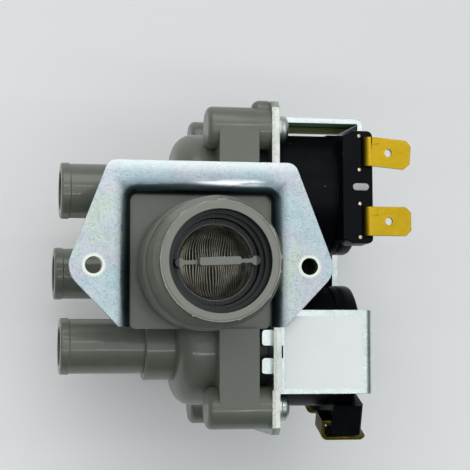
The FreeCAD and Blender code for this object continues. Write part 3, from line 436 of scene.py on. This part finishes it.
points = []
faces = []
for number in range(flash_steps):
    angle = 2 * math.pi * number / flash_steps
    across = Vector((math.cos(angle), math.sin(angle), 0))
    torn = noise.noise(across * tear_waves) + burr_share * noise.noise(across * burr_waves) - tear_gaps
    reach = flash_reach * max(tear_least, min(1.0, torn * tear_gain))
    lift = curl_share * reach * noise.noise(across * curl_waves + curl_start)
    for radius, height in (
        (flash_root, flash_height + flash_thick), (rim_radius + reach, flash_height + lift + flash_thick),
        (rim_radius + reach, flash_height + lift), (flash_root, flash_height),
    ):
        points.append((radius * across.x, radius * across.y, height))
    base = 4 * number
    after = 4 * ((number + 1) % flash_steps)
    for side in range(4):
        other = (side + 1) % 4
        faces.append((base + side, base + other, after + other, after + side))
flash = meshed("inlet_flash", points, faces)
flash_grey = moulded("flash grey", (0.22, 0.225, 0.19), (0.42, 0.42, 0.37), roughness=(0.4, 0.5))[0]
new_piece("inlet_flash", flash, flash_grey)

# Inlet thread: the G3/4 ridge moulded in one with the grey inlet, for the nut of the supply hose. It grows
# out of the root at both ends, as the mould's two run-outs leave it.
thread_root = rim_radius
thread_sunk = thread_root - 0.0002
thread_crest = 0.01322
thread_pitch = 0.001814
thread_foot = thread_pitch * 0.40
thread_land = thread_pitch * 0.10
thread_low = 0.0094
thread_high = 0.0203
thread_steps = 96
thread_runout = 0.5
thread_smooth = 30
thread_turns = (thread_high - thread_low) / thread_pitch
thread_count = int(thread_turns * thread_steps)
points = []
faces = []
for number in range(thread_count + 1):
    share = number / thread_count
    angle = 2 * math.pi * thread_turns * share
    rise = min(1.0, share * thread_turns / thread_runout, (1 - share) * thread_turns / thread_runout)
    tip = thread_root + (thread_crest - thread_root) * rise
    height = thread_low + (thread_high - thread_low) * share
    for radius, lift in (
        (thread_sunk, -thread_foot), (tip, -thread_land), (tip, thread_land), (thread_sunk, thread_foot),
    ):
        points.append((radius * math.cos(angle), radius * math.sin(angle), height + lift))
    if number:
        base = 4 * number
        for side in range(3):
            faces.append((base + side, base + side + 1, base + side - 3, base + side - 4))
faces.append((3, 2, 1, 0))
faces.append(tuple(4 * thread_count + corner for corner in range(4)))
ridge = meshed("inlet_thread", points, faces, thread_smooth)
new_piece("inlet_thread", ridge, housing_grey)

# Mounting bracket: pressed from zinc plated sheet, with a collar drawn back along the neck. The plating shows
# a pale blue spangle with iridescent stains and dark pits. Painted shade darkens the collar's bend and a band
# across its upper middle, and painted highlights brighten the outer bent edges, the top edge and a streak.
bracket_edge = 0.00030
bracket_shades = [
    (0.25, (0.12, 0.20, 0.23)), (0.40, (0.24, 0.33, 0.36)), (0.50, (0.36, 0.43, 0.46)),
    (0.60, (0.44, 0.46, 0.46)), (0.75, (0.48, 0.47, 0.38)),
]
pit_scale = 1700.0
pit_span = (0.08, 0.30)
pit_patches = (0.42, 0.62)
pit_shade = (0.16, 0.22, 0.24)
film_scale = 85.0
film_share = 0.42
film_shades = [
    (0.34, (0.36, 0.62, 0.60)), (0.44, (0.44, 0.54, 0.62)), (0.52, (0.62, 0.48, 0.60)),
    (0.60, (0.52, 0.60, 0.56)), (0.68, (0.60, 0.62, 0.36)),
]
spangle_scale = 2600.0
spangle_span = (0.55, 1.0)
spangle_share = 0.55
spangle_shade = (0.17, 0.26, 0.28)
frost_scale = 3800.0
frost_span = (0.42, 0.72)
frost_shade = (0.52, 0.58, 0.60)
bend_facing = (0.55, 0.97)
front_facing = 0.05
collar_reach = 0.0186
collar_shadow = (0.0160, 0.0190)
shadow_share = 0.85
bend_painted_shade = (0.030, 0.055, 0.062)
edge_painted_highlight = (0.95, 0.97, 0.94)
upper_middle = (0.0135, 0.0180)
upper_start = 0.0160
upper_span = (0.0178, 0.0210)
upper_share = 0.55
upper_painted_shade = (0.16, 0.22, 0.26)
pale_span = (0.0196, 0.0216)
pale_share = 0.5
pale_painted_highlight = (0.84, 0.88, 0.86)
streak_place = 0.0176
streak_half = 0.0010
streak_start = (-0.004, 0.003)
streak_end = (0.0105, 0.0145)
streak_stretch = (90.0, 1400.0, 1.0)
streak_span = (0.34, 0.50)
streak_painted_highlight = (0.98, 0.99, 1.0)
hole_places = (-0.0231, 0.0231)
hole_ring = (0.00215, 0.00265)
ring_shade = (0.70, 0.74, 0.64)


def plated(name, shades, stain_and_shade_scale, roughness, pit_share=0.45, depth=0.000014):
    """Zinc plate on steel: stains between a few shades, darker pits and a rolled grain. Gives the material,
    and its tree, shader and colour for a later layer."""
    material, tree, shader = new_material(name, Metallic=1.0)
    marks = place_group(tree, grain, Grain=1500.0, Cloud=300.0)
    where = places(tree)
    stain = clouds(tree, where, stain_and_shade_scale, detail=7.0, Roughness=0.78, Distortion=0.15)
    colour = ramped(tree, stain, shades)
    pits = add(tree, "TexVoronoi", Vector=where, Scale=pit_scale).outputs["Distance"]
    pitted = between(tree, pits, pit_span, (pit_share, 0.0))
    patchy = between(tree, marks["Clouds"], pit_patches)
    colour = mixed(tree, product(tree, pitted, patchy), colour, pit_shade)
    coated(tree, shader, colour, marks["Clouds"], shade_span, roughness, marks["Height"], depth)
    return material, tree, shader, colour


def facing(tree, axis):
    """How far the surface faces along an axis."""
    normal = add(tree, "NewGeometry").outputs["Normal"]
    return add(tree, "SeparateXYZ", Vector=normal).outputs[axis]


bracket_zinc, tree, shader, colour = plated(
    "bracket zinc", bracket_shades, stain_and_shade_scale=210.0, roughness=(0.24, 0.40), pit_share=0.85, depth=0.00003,
)
where = places(tree)
tint = ramped(tree, clouds(tree, where, film_scale, Distortion=0.8), film_shades)
colour = mixed(tree, film_share, colour, tint)
spangle = add(tree, "TexVoronoi", Vector=where, Scale=spangle_scale, Randomness=1.0).outputs["Color"]
spangle = add(tree, "SeparateColor", Color=spangle).outputs["Green"]
colour = mixed(tree, between(tree, spangle, spangle_span, (0.0, spangle_share)), colour, spangle_shade)
frost = between(tree, clouds(tree, where, frost_scale), frost_span)
colour = mixed(tree, frost, colour, frost_shade)

spread = add(tree, "SeparateXYZ", Vector=where).outputs
sideways = maths(tree, "ABSOLUTE", spread["X"])
away = maths(tree, "MAXIMUM", sideways, spread["Y"])
collar = maths(tree, "LESS_THAN", away, collar_reach)
raised = facing(tree, "Z")
front = maths(tree, "GREATER_THAN", raised, front_facing)
bend = product(tree, between(tree, raised, bend_facing, (1.0, 0.0)), front)
shadow = product(tree, between(tree, away, collar_shadow, (shadow_share, 0.0), smooth=True), front)
bend_shade_mask = maths(tree, "MAXIMUM", product(tree, bend, collar), shadow)
outer_edge_highlight = product(tree, bend, maths(tree, "SUBTRACT", 1.0, collar))
# Painted shade darkens the collar's bend and the band round the collar; a painted highlight brightens the
# outer bent edges.
colour = mixed(tree, bend_shade_mask, colour, bend_painted_shade)
colour = mixed(tree, outer_edge_highlight, colour, edge_painted_highlight)

# Painted shade darkens a band across the upper middle, and painted light brightens the sheet towards its top
# edge.
upper = between(tree, spread["Y"], upper_span, (upper_share, 0.0))
middle = between(tree, sideways, upper_middle, (1.0, 0.0), smooth=True)
above = maths(tree, "GREATER_THAN", spread["Y"], upper_start)
colour = mixed(tree, product(tree, upper, middle, above), colour, upper_painted_shade)
pale = between(tree, spread["Y"], pale_span, (0.0, pale_share))
colour = mixed(tree, pale, colour, pale_painted_highlight)

# Painted highlight: a bright smeared streak along one row of the sheet.
streak_mask = add(tree, "Mapping", Vector=where, Scale=streak_stretch).outputs[0]
streak_mask = between(tree, clouds(tree, streak_mask, 1.0, detail=3.0), streak_span)
row = maths(tree, "ABSOLUTE", maths(tree, "SUBTRACT", spread["Y"], streak_place))
row = between(tree, row, (0.0, streak_half), (1.0, 0.0))
start = between(tree, spread["X"], streak_start, smooth=True)
end = between(tree, spread["X"], streak_end, (1.0, 0.0), smooth=True)
colour = mixed(tree, product(tree, streak_mask, row, start, end), colour, streak_painted_highlight)
for place in hole_places:
    shift = add(tree, "VectorMath", {"operation": "SUBTRACT"}, i0=where, i1=(place, 0, 0)).outputs[0]
    ring = between(tree, axis_reach(tree, shift), hole_ring, (1.0, 0.0))
    colour = mixed(tree, ring, colour, ring_shade)
tree.links.new(colour, shader.inputs["Base Color"])
remade("bracket", "mounting_bracket", bracket_edge, bracket_zinc)

# Flange plates: punched from thicker zinc plated sheet and held by the screws. The punch leaves each cut edge
# bright on the side it entered and torn, darker and mottled on the other.
valves = ("top", "bottom", "middle")
sheet_edge = 0.00012
plate_shades = [
    (0.30, (0.38, 0.42, 0.39)), (0.50, (0.54, 0.57, 0.53)), (0.72, (0.66, 0.68, 0.63)),
]
torn_side = 0.01595
torn_waver = 0.0002
torn_scale = 1100.0
cut_facing = 0.5
mottle_scale = 2200.0
torn_dark = (0.20, 0.22, 0.20)
torn_pale = (0.74, 0.74, 0.66)
plate_zinc, tree, shader, colour = plated(
    "plate zinc", plate_shades, stain_and_shade_scale=240.0, roughness=(0.26, 0.42),
)
edge, entry, leaving, where = new_group("cut edge", ["Torn"])
along = add(edge, "SeparateXYZ", Vector=where).outputs["X"]
level = maths(edge, "LESS_THAN", maths(edge, "ABSOLUTE", facing(edge, "X")), cut_facing)
border = clouds(edge, where, torn_scale, detail=3.0)
border = between(edge, border, (0.0, 1.0), (torn_side - torn_waver, torn_side + torn_waver))
torn = product(edge, maths(edge, "LESS_THAN", along, border), level)
edge.links.new(torn, leaving.inputs["Torn"])
mottle = mixed(tree, clouds(tree, places(tree), mottle_scale, detail=4.0), torn_dark, torn_pale)
tree.links.new(mixed(tree, place_group(tree, edge)["Torn"], colour, mottle), shader.inputs["Base Color"])
for name in valves:
    remade(name + ".flange_plate", name + "_flange_plate", sheet_edge, plate_zinc)

# Yokes: zinc plated strap that runs along one side of each coil and bends over its end, its tongues held in
# the flange plate. The solid has a second wall that the real yoke lacks, and it is cut away here. The
# passivated plating turns greenish and yellowish in bands along the inner face.
yoke_half_width = 0.009
middle_wall = 0.0150
yoke_cuts = {
    "top": (Vector((0, -1, 0)), yoke_half_width), "bottom": (Vector((0, 0, -1)), yoke_half_width),
    "middle": (Vector((0, 0, 1)), middle_wall),
}
yoke_shades = [(0.30, (0.44, 0.50, 0.49)), (0.50, (0.62, 0.68, 0.67)), (0.72, (0.76, 0.80, 0.79))]
yoke_finish = {"shades": yoke_shades, "stain_and_shade_scale": 180.0, "roughness": (0.22, 0.36)}
yoke_gleam = 0.12
band_stretch = (0.12, 1.0, 1.0)
band_scale = 160.0
band_span = (-0.0270, -0.0090)
band_waver = 0.14
band_shades = [
    (0.08, (0.82, 0.86, 0.76)), (0.24, (0.66, 0.78, 0.36)), (0.62, (0.36, 0.56, 0.12)),
    (0.68, (0.012, 0.060, 0.016)), (0.73, (0.020, 0.090, 0.030)), (0.79, (0.22, 0.48, 0.18)),
    (1.0, (0.24, 0.52, 0.26)),
]
inner_facing = (-0.6, -0.95)
inner_roughness = (0.3, 0.85)


def coil_centre(valve):
    """The middle of a valve's guide tube, on the axis of its coil."""
    low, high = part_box(valve + "_guide_tube")
    return (low + high) / 2


yoke_zinc = plated("yoke zinc", **yoke_finish)[0]
yoke_stained, tree, shader, colour = plated("yoke zinc stained", **yoke_finish)
shader.inputs["Specular IOR Level"].default_value = yoke_gleam
where = places(tree)
band = add(tree, "Mapping", Vector=where, Scale=band_stretch).outputs[0]
band = clouds(tree, band, band_scale, detail=3.0)
level = between(tree, add(tree, "SeparateXYZ", Vector=where).outputs["Z"], band_span)
banded = ramped(tree, maths(tree, "MULTIPLY_ADD", band, band_waver, level), band_shades)
inner_face = between(tree, facing(tree, "Y"), inner_facing)
tree.links.new(mixed(tree, inner_face, colour, banded), shader.inputs["Base Color"])
tree.links.new(between(tree, inner_face, (0.0, 1.0), (1.0, 0.0)), shader.inputs["Metallic"])
tree.links.new(between(tree, inner_face, (0.0, 1.0), inner_roughness), shader.inputs["Roughness"])
for name in valves:
    side, wall = yoke_cuts[name]
    limit = (side, side.dot(coil_centre(name)) + wall)
    material = yoke_stained if name == "top" else yoke_zinc
    remade(name + ".yoke", name + "_yoke", sheet_edge, material, beyond=limit)

# Coils: black moulded bobbins with their terminal blocks, wound with copper wire under a smooth black cover.
# The bobbin turns with its block, so each coil faces another way.
block_edge = 0.00025
coil_black = moulded(
    "coil black", (0.0030, 0.0036, 0.0052), (0.0055, 0.0064, 0.0085), roughness=(0.24, 0.38), depth=0.000008,
    Specular_IOR_Level=0.05,
)[0]
cover_black = moulded(
    "cover black", (0.0020, 0.0025, 0.0040), (0.0040, 0.0048, 0.0068), roughness=(0.30, 0.44), depth=0.000012,
    size=1200.0, Specular_IOR_Level=0.07,
)[0]
copper, tree, shader = new_material("winding copper", Metallic=1.0, Roughness=0.3)
marks = place_group(tree, grain, Grain=2600.0)
shade = mixed(tree, marks["Clouds"], (0.40, 0.12, 0.04), (0.62, 0.26, 0.12))
tree.links.new(shade, shader.inputs["Base Color"])
coil_parts = (
    ("coil_former", "coil_former", block_edge, coil_black, "coil_plastic"),
    ("coil_cover", "coil_sleeve", 0, cover_black, "coil_cover"),
    ("winding", "coil_winding", 0, copper, "winding_copper"),
)
for name in valves:
    for piece, part, width, material, slot in coil_parts:
        remade(name + "." + piece, name + "_" + part, width, material)

# Bobbin flanges: a thick black rim at each bobbin's outer end, moulded with it, that keeps the winding in and
# stands out from behind the terminal block.
flange_low = 0.0316
flange_high = 0.0358
flange_radius = 0.0136
flange_bore = 0.0080
flange_round = 0.0007
arc_share = 0.3
flange_arc = flange_round * arc_share
flange_steps = 96
flange_smooth = 50
flange_section = [
    (flange_low, flange_bore), (flange_low, flange_radius - flange_round),
    (flange_low + flange_arc, flange_radius - flange_arc), (flange_low + flange_round, flange_radius),
    (flange_high - flange_round, flange_radius), (flange_high - flange_arc, flange_radius - flange_arc),
    (flange_high, flange_radius - flange_round), (flange_high, flange_bore),
]


def turned(name, section, steps):
    """A closed ring round the X axis from the (x, radius) corners of its section."""
    points = []
    faces = []
    for number in range(steps):
        angle = 2 * math.pi * number / steps
        base = number * len(section)
        after = (number + 1) % steps * len(section)
        for corner, (along, radius) in enumerate(section):
            points.append((along, radius * math.cos(angle), radius * math.sin(angle)))
            other = (corner + 1) % len(section)
            faces.append((base + corner, base + other, after + other, after + corner))
    return meshed(name, points, faces, flange_smooth)


for name in valves:
    centre = coil_centre(name)
    rim = turned(name + "_bobbin_flange", flange_section, flange_steps)
    rim.transform(Matrix.Translation((0, centre.y, centre.z)))
    new_piece(name + ".bobbin_flange", rim, coil_black)

# Block marks: on the outer face of each terminal block sit the pale window of the wire channel and the tinned
# ends of the four pins that take the winding's wire.
block_turns = {"top": -1.3, "bottom": 110.0, "middle": -90.0}
block_face = 0.0165
window_places = ((0.0349, 0),)
window_size = (0.0036, 0.00155)
window_sunk = 0.0004
window_lift = 0.00012
window_round = 0.0001
pin_places = ((0.0345, 0.0111), (0.0345, 0.0037), (0.0346, -0.0037), (0.0346, -0.0110))
pin_size = (0.000861, 0.00084)
pin_sunk = 0.0006
pin_lift = 0.0004
pin_round = 0.0002
end_steps = 8
pad_smooth = 40
tin_shades = [(0.30, (0.46, 0.38, 0.22)), (0.70, (0.80, 0.72, 0.52))]


def pad(points, faces, centre, size, low, high, edge, sideways):
    """Adds a flat pad with round ends and a rounded upper edge, long in Y or sideways in X."""
    first = len(points)
    long, wide = size
    count = 2 * end_steps + 2
    rings = ((0, low), (0, high - edge), (edge * arc_share, high - edge * arc_share), (edge, high))
    for inset, height in rings:
        for number in range(count):
            side = 1 if number <= end_steps else -1
            angle = math.pi * (number if side > 0 else number - 1) / end_steps
            radius = wide / 2 - inset
            wide_part = radius * math.cos(angle)
            long_part = side * (long - wide) / 2 + radius * math.sin(angle)
            step = (long_part, -wide_part) if sideways else (wide_part, long_part)
            points.append((centre[0] + step[0], centre[1] + step[1], height))
    faces.append(tuple(first + number for number in reversed(range(count))))
    faces.append(tuple(first + (len(rings) - 1) * count + number for number in range(count)))
    for ring in range(len(rings) - 1):
        for number in range(count):
            after = (number + 1) % count
            base = first + ring * count
            faces.append((base + number, base + after, base + count + after, base + count + number))


def block_pads(valve, name, spots, size, low, high, edge, material, sideways=False):
    """A piece of pads at (x, y) spots of a valve's terminal block, turned with the block."""
    points = []
    faces = []
    for spot in spots:
        pad(points, faces, spot, size, low, high, edge, sideways)
    mesh = meshed(valve + "_" + name, points, faces, pad_smooth)
    centre = coil_centre(valve)
    block_turn = Matrix.Rotation(math.radians(block_turns[valve]), 4, "X")
    mesh.transform(Matrix.Translation((0, centre.y, centre.z)) @ block_turn)
    new_piece(valve + "." + name, mesh, material)


window_pale = moulded("window pale", (0.42, 0.43, 0.42), (0.52, 0.53, 0.51), roughness=(0.4, 0.5))[0]
tinned = plated("tinned wire", tin_shades, stain_and_shade_scale=900.0, roughness=(0.24, 0.36))[0]
for name in valves:
    block_pads(name, "block_window", window_places, window_size, block_face - window_sunk,
               block_face + window_lift, window_round, window_pale, sideways=True)
    block_pads(name, "winding_pins", pin_places, pin_size, block_face - pin_sunk, block_face + pin_lift,
               pin_round, tinned)

# Terminals: brass blades pushed into the blocks, bright where the plug rubs and darker where they are
# tarnished. The lower pair is a darker olive copy of the brass: olive tarnish, with painted shade where they
# lean away from the light. A small coined bar beside the bend stops the plug.
blade_edge = 0.00020
blade_top = block_face + 0.0018
bar_places = ((0.0379, 0.0093), (0.0375, -0.0062))
bar_size = (0.0016, 0.00045)
bar_sunk = 0.0001
bar_lift = 0.00008
bar_round = 0.00004
tarnish_span = (0.32, 0.68)
stroke_stretch = (0.08, 1.0, 1.0)
stroke_scale = 3500.0
stroke_span = (0.52, 0.72)
stroke_share = 0.5
stroke_gain = 1.1
side_shade_facing = (0.55, 0.93)
side_shade_share = 0.75
side_shade_gain = 0.16


def brass(name, dark, bright):
    """Rolled brass: tarnish between two shades, fine strokes along the blade, and painted shade on the sides
    and bends that turn away from the front.
    """
    material, tree, shader = new_material(name, Metallic=1.0)
    marks = place_group(tree, grain, Grain=1400.0, Cloud=420.0)
    colour = mixed(tree, between(tree, marks["Clouds"], tarnish_span), dark, bright)
    stretch = add(tree, "Mapping", Vector=places(tree), Scale=stroke_stretch).outputs[0]
    strokes = clouds(tree, stretch, stroke_scale)
    drawn = between(tree, strokes, stroke_span, (0.0, stroke_share))
    colour = mixed(tree, drawn, colour, tuple(stroke_gain * part for part in bright))
    # Painted shade: faces that turn away from the front, the sides and bends, are darkened.
    level = maths(tree, "ABSOLUTE", facing(tree, "Z"))
    rolled = between(tree, level, side_shade_facing, (side_shade_share, 0.0))
    colour = mixed(tree, rolled, colour, tuple(side_shade_gain * part for part in bright))
    coated(tree, shader, colour, marks["Clouds"], shade_span, (0.30, 0.42), strokes, grain_depth)
    return material


brass_bright = brass("brass bright", (0.44, 0.28, 0.010), (0.52, 0.34, 0.020))
# Painted shade: the lower pair gets a darker olive copy of the brass.
brass_olive_shaded = brass("brass olive painted shade", (0.06, 0.048, 0.006), (0.26, 0.19, 0.015))
for name in valves:
    material = brass_olive_shaded if name == "bottom" else brass_bright
    for letter in ("a", "b"):
        node = "%s_terminal_%s" % (name, letter)
        remade(node.replace("_", "."), node, blade_edge, material)
block_pads("top", "terminal_bars", bar_places, bar_size, blade_top - bar_sunk, blade_top + bar_lift,
           bar_round, brass_bright, sideways=True)

# Guide tubes: black mouldings that hold the plungers, with a flange behind each flange plate. They are duller
# and greyer than the coils.
tube_edge = 0.00015
guide_black = moulded("guide black", (0.020, 0.024, 0.027), (0.032, 0.036, 0.040), roughness=(0.4, 0.55))[0]
for name in valves:
    remade(name + ".guide_tube", name + "_guide_tube", tube_edge, guide_black)

# Screws: zinc plated steel with domed pan heads and a cross recess, cut into the nylon bosses. They keep the
# same plating as the plates they hold.
screw_edge = 0.0001
head_radius = 0.0029
head_high = 0.0021
head_shoulder = head_high * 0.35
head_dome = head_high * 0.55
head_steps = 32
head_rings = 7
head_smooth = 40
cross_depth = 0.0006
cross_half_wide = 0.00035
cross_half_long = 0.0016


def screw_boxes(mesh):
    """The low and high corners of each separate screw in a mesh."""
    shape = bmesh.new()
    shape.from_mesh(mesh)
    left = set(shape.verts)
    boxes = []
    for start in shape.verts:
        if start not in left:
            continue
        left.remove(start)
        screw = [start]
        for item in screw:
            for edge in item.link_edges:
                other = edge.other_vert(item)
                if other in left:
                    left.remove(other)
                    screw.append(other)
        boxes.append([[limit(item.co[axis] for item in screw) for axis in range(3)] for limit in (min, max)])
    shape.free()
    return boxes


def dome(points, faces, top, centre):
    """Adds a domed head with a cross recess, its axis along X."""
    first = len(points)
    for ring in range(head_rings + 1):
        share = ring / head_rings
        radius = head_radius * math.sin(share * math.pi / 2)
        height = top - head_shoulder + head_dome * math.cos(share * math.pi / 2)
        for step in range(head_steps):
            angle = 2 * math.pi * step / head_steps
            y = radius * math.cos(angle)
            z = radius * math.sin(angle)
            near, far = sorted((abs(y), abs(z)))
            sunk = cross_depth if near < cross_half_wide and far < cross_half_long else 0
            points.append((height - sunk, centre[0] + y, centre[1] + z))
    for step in range(head_steps):
        angle = 2 * math.pi * step / head_steps
        points.append((top - head_high, centre[0] + head_radius * math.cos(angle),
                       centre[1] + head_radius * math.sin(angle)))
    for ring in range(head_rings + 1):
        base = first + ring * head_steps
        for step in range(head_steps):
            after = (step + 1) % head_steps
            faces.append((base + step, base + head_steps + step, base + head_steps + after, base + after))
    foot = first + (head_rings + 1) * head_steps
    faces.append(tuple(foot + step for step in reversed(range(head_steps))))


for name in valves:
    screws = remade(name + ".screws", name + "_screws", screw_edge, plate_zinc)
    points = []
    faces = []
    for low, high in screw_boxes(screws.data):
        dome(points, faces, high[0], ((low[1] + high[1]) / 2, (low[2] + high[2]) / 2))
    heads = meshed(name + "_screw_heads", points, faces, head_smooth)
    new_piece(name + ".screw_heads", heads, plate_zinc)

# Filter frame: a small grey moulding that snaps into the inlet, with two pins, thin links and a grip to pull
# it out by.
filter_edge = 0.00012
filter_rim = (0.0077, 0.0079)
filter_dark = (0.18, 0.187, 0.163)
filter_pale = (0.21, 0.216, 0.19)
filter_rim_painted_shade = (0.022, 0.028, 0.026)
filter_grey, tree, shader, colour = moulded(
    "filter grey", filter_dark, filter_pale, roughness=(0.36, 0.5),
)
# Painted shade: the frame turns nearly black beyond about 7.8 mm from the axis, near the inlet's wall.
rim = between(tree, axis_reach(tree, places(tree)), filter_rim)
tree.links.new(mixed(tree, rim, colour, filter_rim_painted_shade), shader.inputs["Base Color"])
remade("filter_frame", "inlet_filter_frame", filter_edge, filter_grey)

# Gauze: fine brown wire woven into a cloth and pressed from a flat disc into a cup, so the weave stretches
# over its rounded bottom and crowds along its wall. The upright wires stand proud, and their cut ends fold
# over the filter's ring as a row of small teeth. The wires carry painted shade towards the cup's wall, and
# the cross wires and the cut ends are a darker copy of the wire, as painted shade.
cup_low, cup_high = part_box("inlet_filter_mesh")
cup_wall_room = 0.00017
cup_floor_room = 0.00015
cup_radius = (cup_high.x - cup_low.x) / 2 - cup_wall_room
cup_round = 0.0050
cup_quarter = cup_round * math.pi / 2
cup_level = cup_radius - cup_round
cup_floor = cup_low.z + cup_floor_room
cup_centre = 0.000001
cloth_pitch = 0.00050
cloth_reach = cup_level + cup_quarter + (cup_high.z - cup_floor - cup_round)
cloth_count = int(cloth_reach / cloth_pitch)
cloth_drift = 0.0011
drift_waves = (0.16, 0.10)
drift_start = 5.0
drift_along = 0.6
upright_radius = 0.00011
upright_lift = 0.5 * upright_radius
cross_radius = 0.00006
weave_lift = 0.00004
wire_corners = 4
wire_smooth = 100
tooth_count = 112
tooth_radius = 0.000072
tooth_inner = 0.0074
tooth_bend = 0.0076
tooth_outer = 0.00885
tooth_lift = 0.00016
tooth_drop = 0.0006
wire_spread = (0.36, 0.64)
wire_dark = (0.66, 0.63, 0.50)
wire_bright = (1.0, 0.97, 0.84)
stain_and_shade_scale = 330.0
gauze_shade_waver = 0.0036
gauze_shade_span = (0.0072, 0.0098)
gauze_painted_shade = (0.045, 0.045, 0.035)
upward = Vector((0, 0, 1))


def pressed(across, along):
    """Where a spot of the flat cloth ends up in the cup, and the direction into the cup there."""
    run = math.hypot(across, along)
    if run < cup_centre:
        return upward * cup_floor, upward
    away = Vector((across / run, along / run, 0))
    if run < cup_level:
        return away * run + upward * cup_floor, upward
    angle = min(run - cup_level, cup_quarter) / cup_round
    climb = max(0.0, run - cup_level - cup_quarter)
    radius = cup_level + cup_round * math.sin(angle)
    height = cup_floor + cup_round * (1 - math.cos(angle)) + climb
    return away * radius + upward * height, upward * math.cos(angle) - away * math.sin(angle)


def wire(points, faces, spine, radius):
    """Adds a thin wire along a list of (place, side direction) pairs."""
    first = len(points)
    for number, (spot, normal) in enumerate(spine):
        ahead = spine[min(number + 1, len(spine) - 1)][0] - spine[max(number - 1, 0)][0]
        side = ahead.cross(normal).normalized()
        for corner in range(wire_corners):
            angle = 2 * math.pi * (corner + 0.5) / wire_corners
            points.append(spot + radius * (side * math.cos(angle) + normal * math.sin(angle)))
        if number:
            base = first + wire_corners * number
            before = base - wire_corners
            for corner in range(wire_corners):
                other = (corner + 1) % wire_corners
                faces.append((before + corner, before + other, base + other, base + corner))


def woven(name, upright):
    """A mesh of the cloth's wires that run one way, each over and under the others."""
    radius = upright_radius if upright else cross_radius
    proud = upright_lift if upright else 0
    points = []
    faces = []
    for row in range(-cloth_count, cloth_count + 1):
        spine = []
        for step in range(-cloth_count, cloth_count + 1):
            across, along = (row, step) if upright else (step, row)
            if math.hypot(across, along) * cloth_pitch > cloth_reach:
                continue
            wave = Vector((across * drift_waves[0], along * drift_waves[1], drift_start))
            drift = cloth_drift * noise.noise(wave)
            spot, inward = pressed(across * cloth_pitch + drift, along * cloth_pitch + drift_along * drift)
            over = 1 if (row + step + upright) % 2 else -1
            spine.append((spot + inward * (weave_lift * over + proud), inward))
        if len(spine) > 2:
            wire(points, faces, spine, radius)
    return meshed(name, points, faces, wire_smooth)


gauze_bright, tree, shader = new_material("gauze wire", Metallic=0.6, Roughness=0.34)
marks = place_group(tree, grain, Grain=2500.0, Cloud=260.0)
shade = mixed(tree, between(tree, marks["Clouds"], wire_spread), wire_dark, wire_bright)
where = places(tree)
# Painted shade: the upright wires darken towards the cup's wall and rim.
reach = maths(tree, "MULTIPLY_ADD", clouds(tree, where, stain_and_shade_scale), gauze_shade_waver, axis_reach(tree, where))
shade = mixed(tree, between(tree, reach, gauze_shade_span), shade, gauze_painted_shade)
tree.links.new(shade, shader.inputs["Base Color"])
# Painted shade: the cross wires and the cut ends use a darker copy of the wire.
gauze_shaded_wire, tree, shader = new_material("gauze wire shaded", Metallic=0.75, Roughness=0.45)
marks = place_group(tree, grain, Grain=2500.0, Cloud=260.0)
shade = mixed(tree, marks["Clouds"], (0.03, 0.032, 0.03), (0.26, 0.25, 0.21))
tree.links.new(shade, shader.inputs["Base Color"])
points = []
faces = []
for number in range(tooth_count):
    angle = 2 * math.pi * number / tooth_count
    away = Vector((math.cos(angle), math.sin(angle), 0))
    top = upward * (cup_high.z + tooth_lift)
    tooth = [(away * tooth_inner + top - upward * tooth_drop, away), (away * tooth_bend + top, away),
             (away * tooth_outer + top, upward)]
    wire(points, faces, tooth, tooth_radius)
teeth = meshed("gauze_ends", points, faces, wire_smooth)
new_piece("gauze", woven("gauze_net", True), gauze_bright, replaces=["inlet_filter_mesh"])
new_piece("gauze_ends", teeth, gauze_shaded_wire)
new_piece("gauze_cross", woven("gauze_cross", False), gauze_shaded_wire)

# Label: a bare strip of white coated paper, stuck to the outer face of the lower yoke. It stays blank, and
# its surface has only a faint grain.
paper = moulded(
    "label paper", (0.95, 0.95, 0.95), (0.99, 0.99, 0.98), roughness=(0.5, 0.6), depth=0.000006, size=5000.0,
    dust=(0.8, 0.8, 0.8),
)[0]
remade("paper_label", "label", 0, paper)

# Inner moving parts: in each valve a turned steel plunger with a rubber seal and a wire spring, and a moulded
# rubber diaphragm on a white insert. They are closed in. The plunger and its seal ride on the plunger's body
# and the insert on the lifter's body, which slide along the valve's axis; the spring and the diaphragm ride
# on the valve's body.
turned_steel, tree, shader = new_material("turned steel", Metallic=1.0, Base_Color=(0.55, 0.55, 0.54, 1))
marks = place_group(tree, grain, Grain=2000.0)
tree.links.new(between(tree, marks["Clouds"], shade_span, (0.25, 0.4)), shader.inputs["Roughness"])
seal_black = moulded("seal rubber", (0.010, 0.010, 0.010), (0.016, 0.016, 0.016), roughness=(0.55, 0.7))[0]
insert_white = moulded("insert white", (0.66, 0.66, 0.62), (0.74, 0.74, 0.70), roughness=(0.4, 0.5))[0]
inner_parts = (
    ("armature", turned_steel, "armature_steel", "_plunger"),
    ("armature_seal", seal_black, "seal_rubber", "_plunger"),
    ("return_spring", turned_steel, "spring_steel", None),
    ("diaphragm", seal_black, "seal_rubber", None),
    ("diaphragm_insert", insert_white, "insert_plastic", "_lifter"),
)
for name in valves:
    for part, material, slot, body in inner_parts:
        node = name + "_" + part
        piece = remade(node.replace("_", "."), node, 0, material, name + body if body else "valve")
        if part == "return_spring":
            low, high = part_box(node)
            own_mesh(piece)
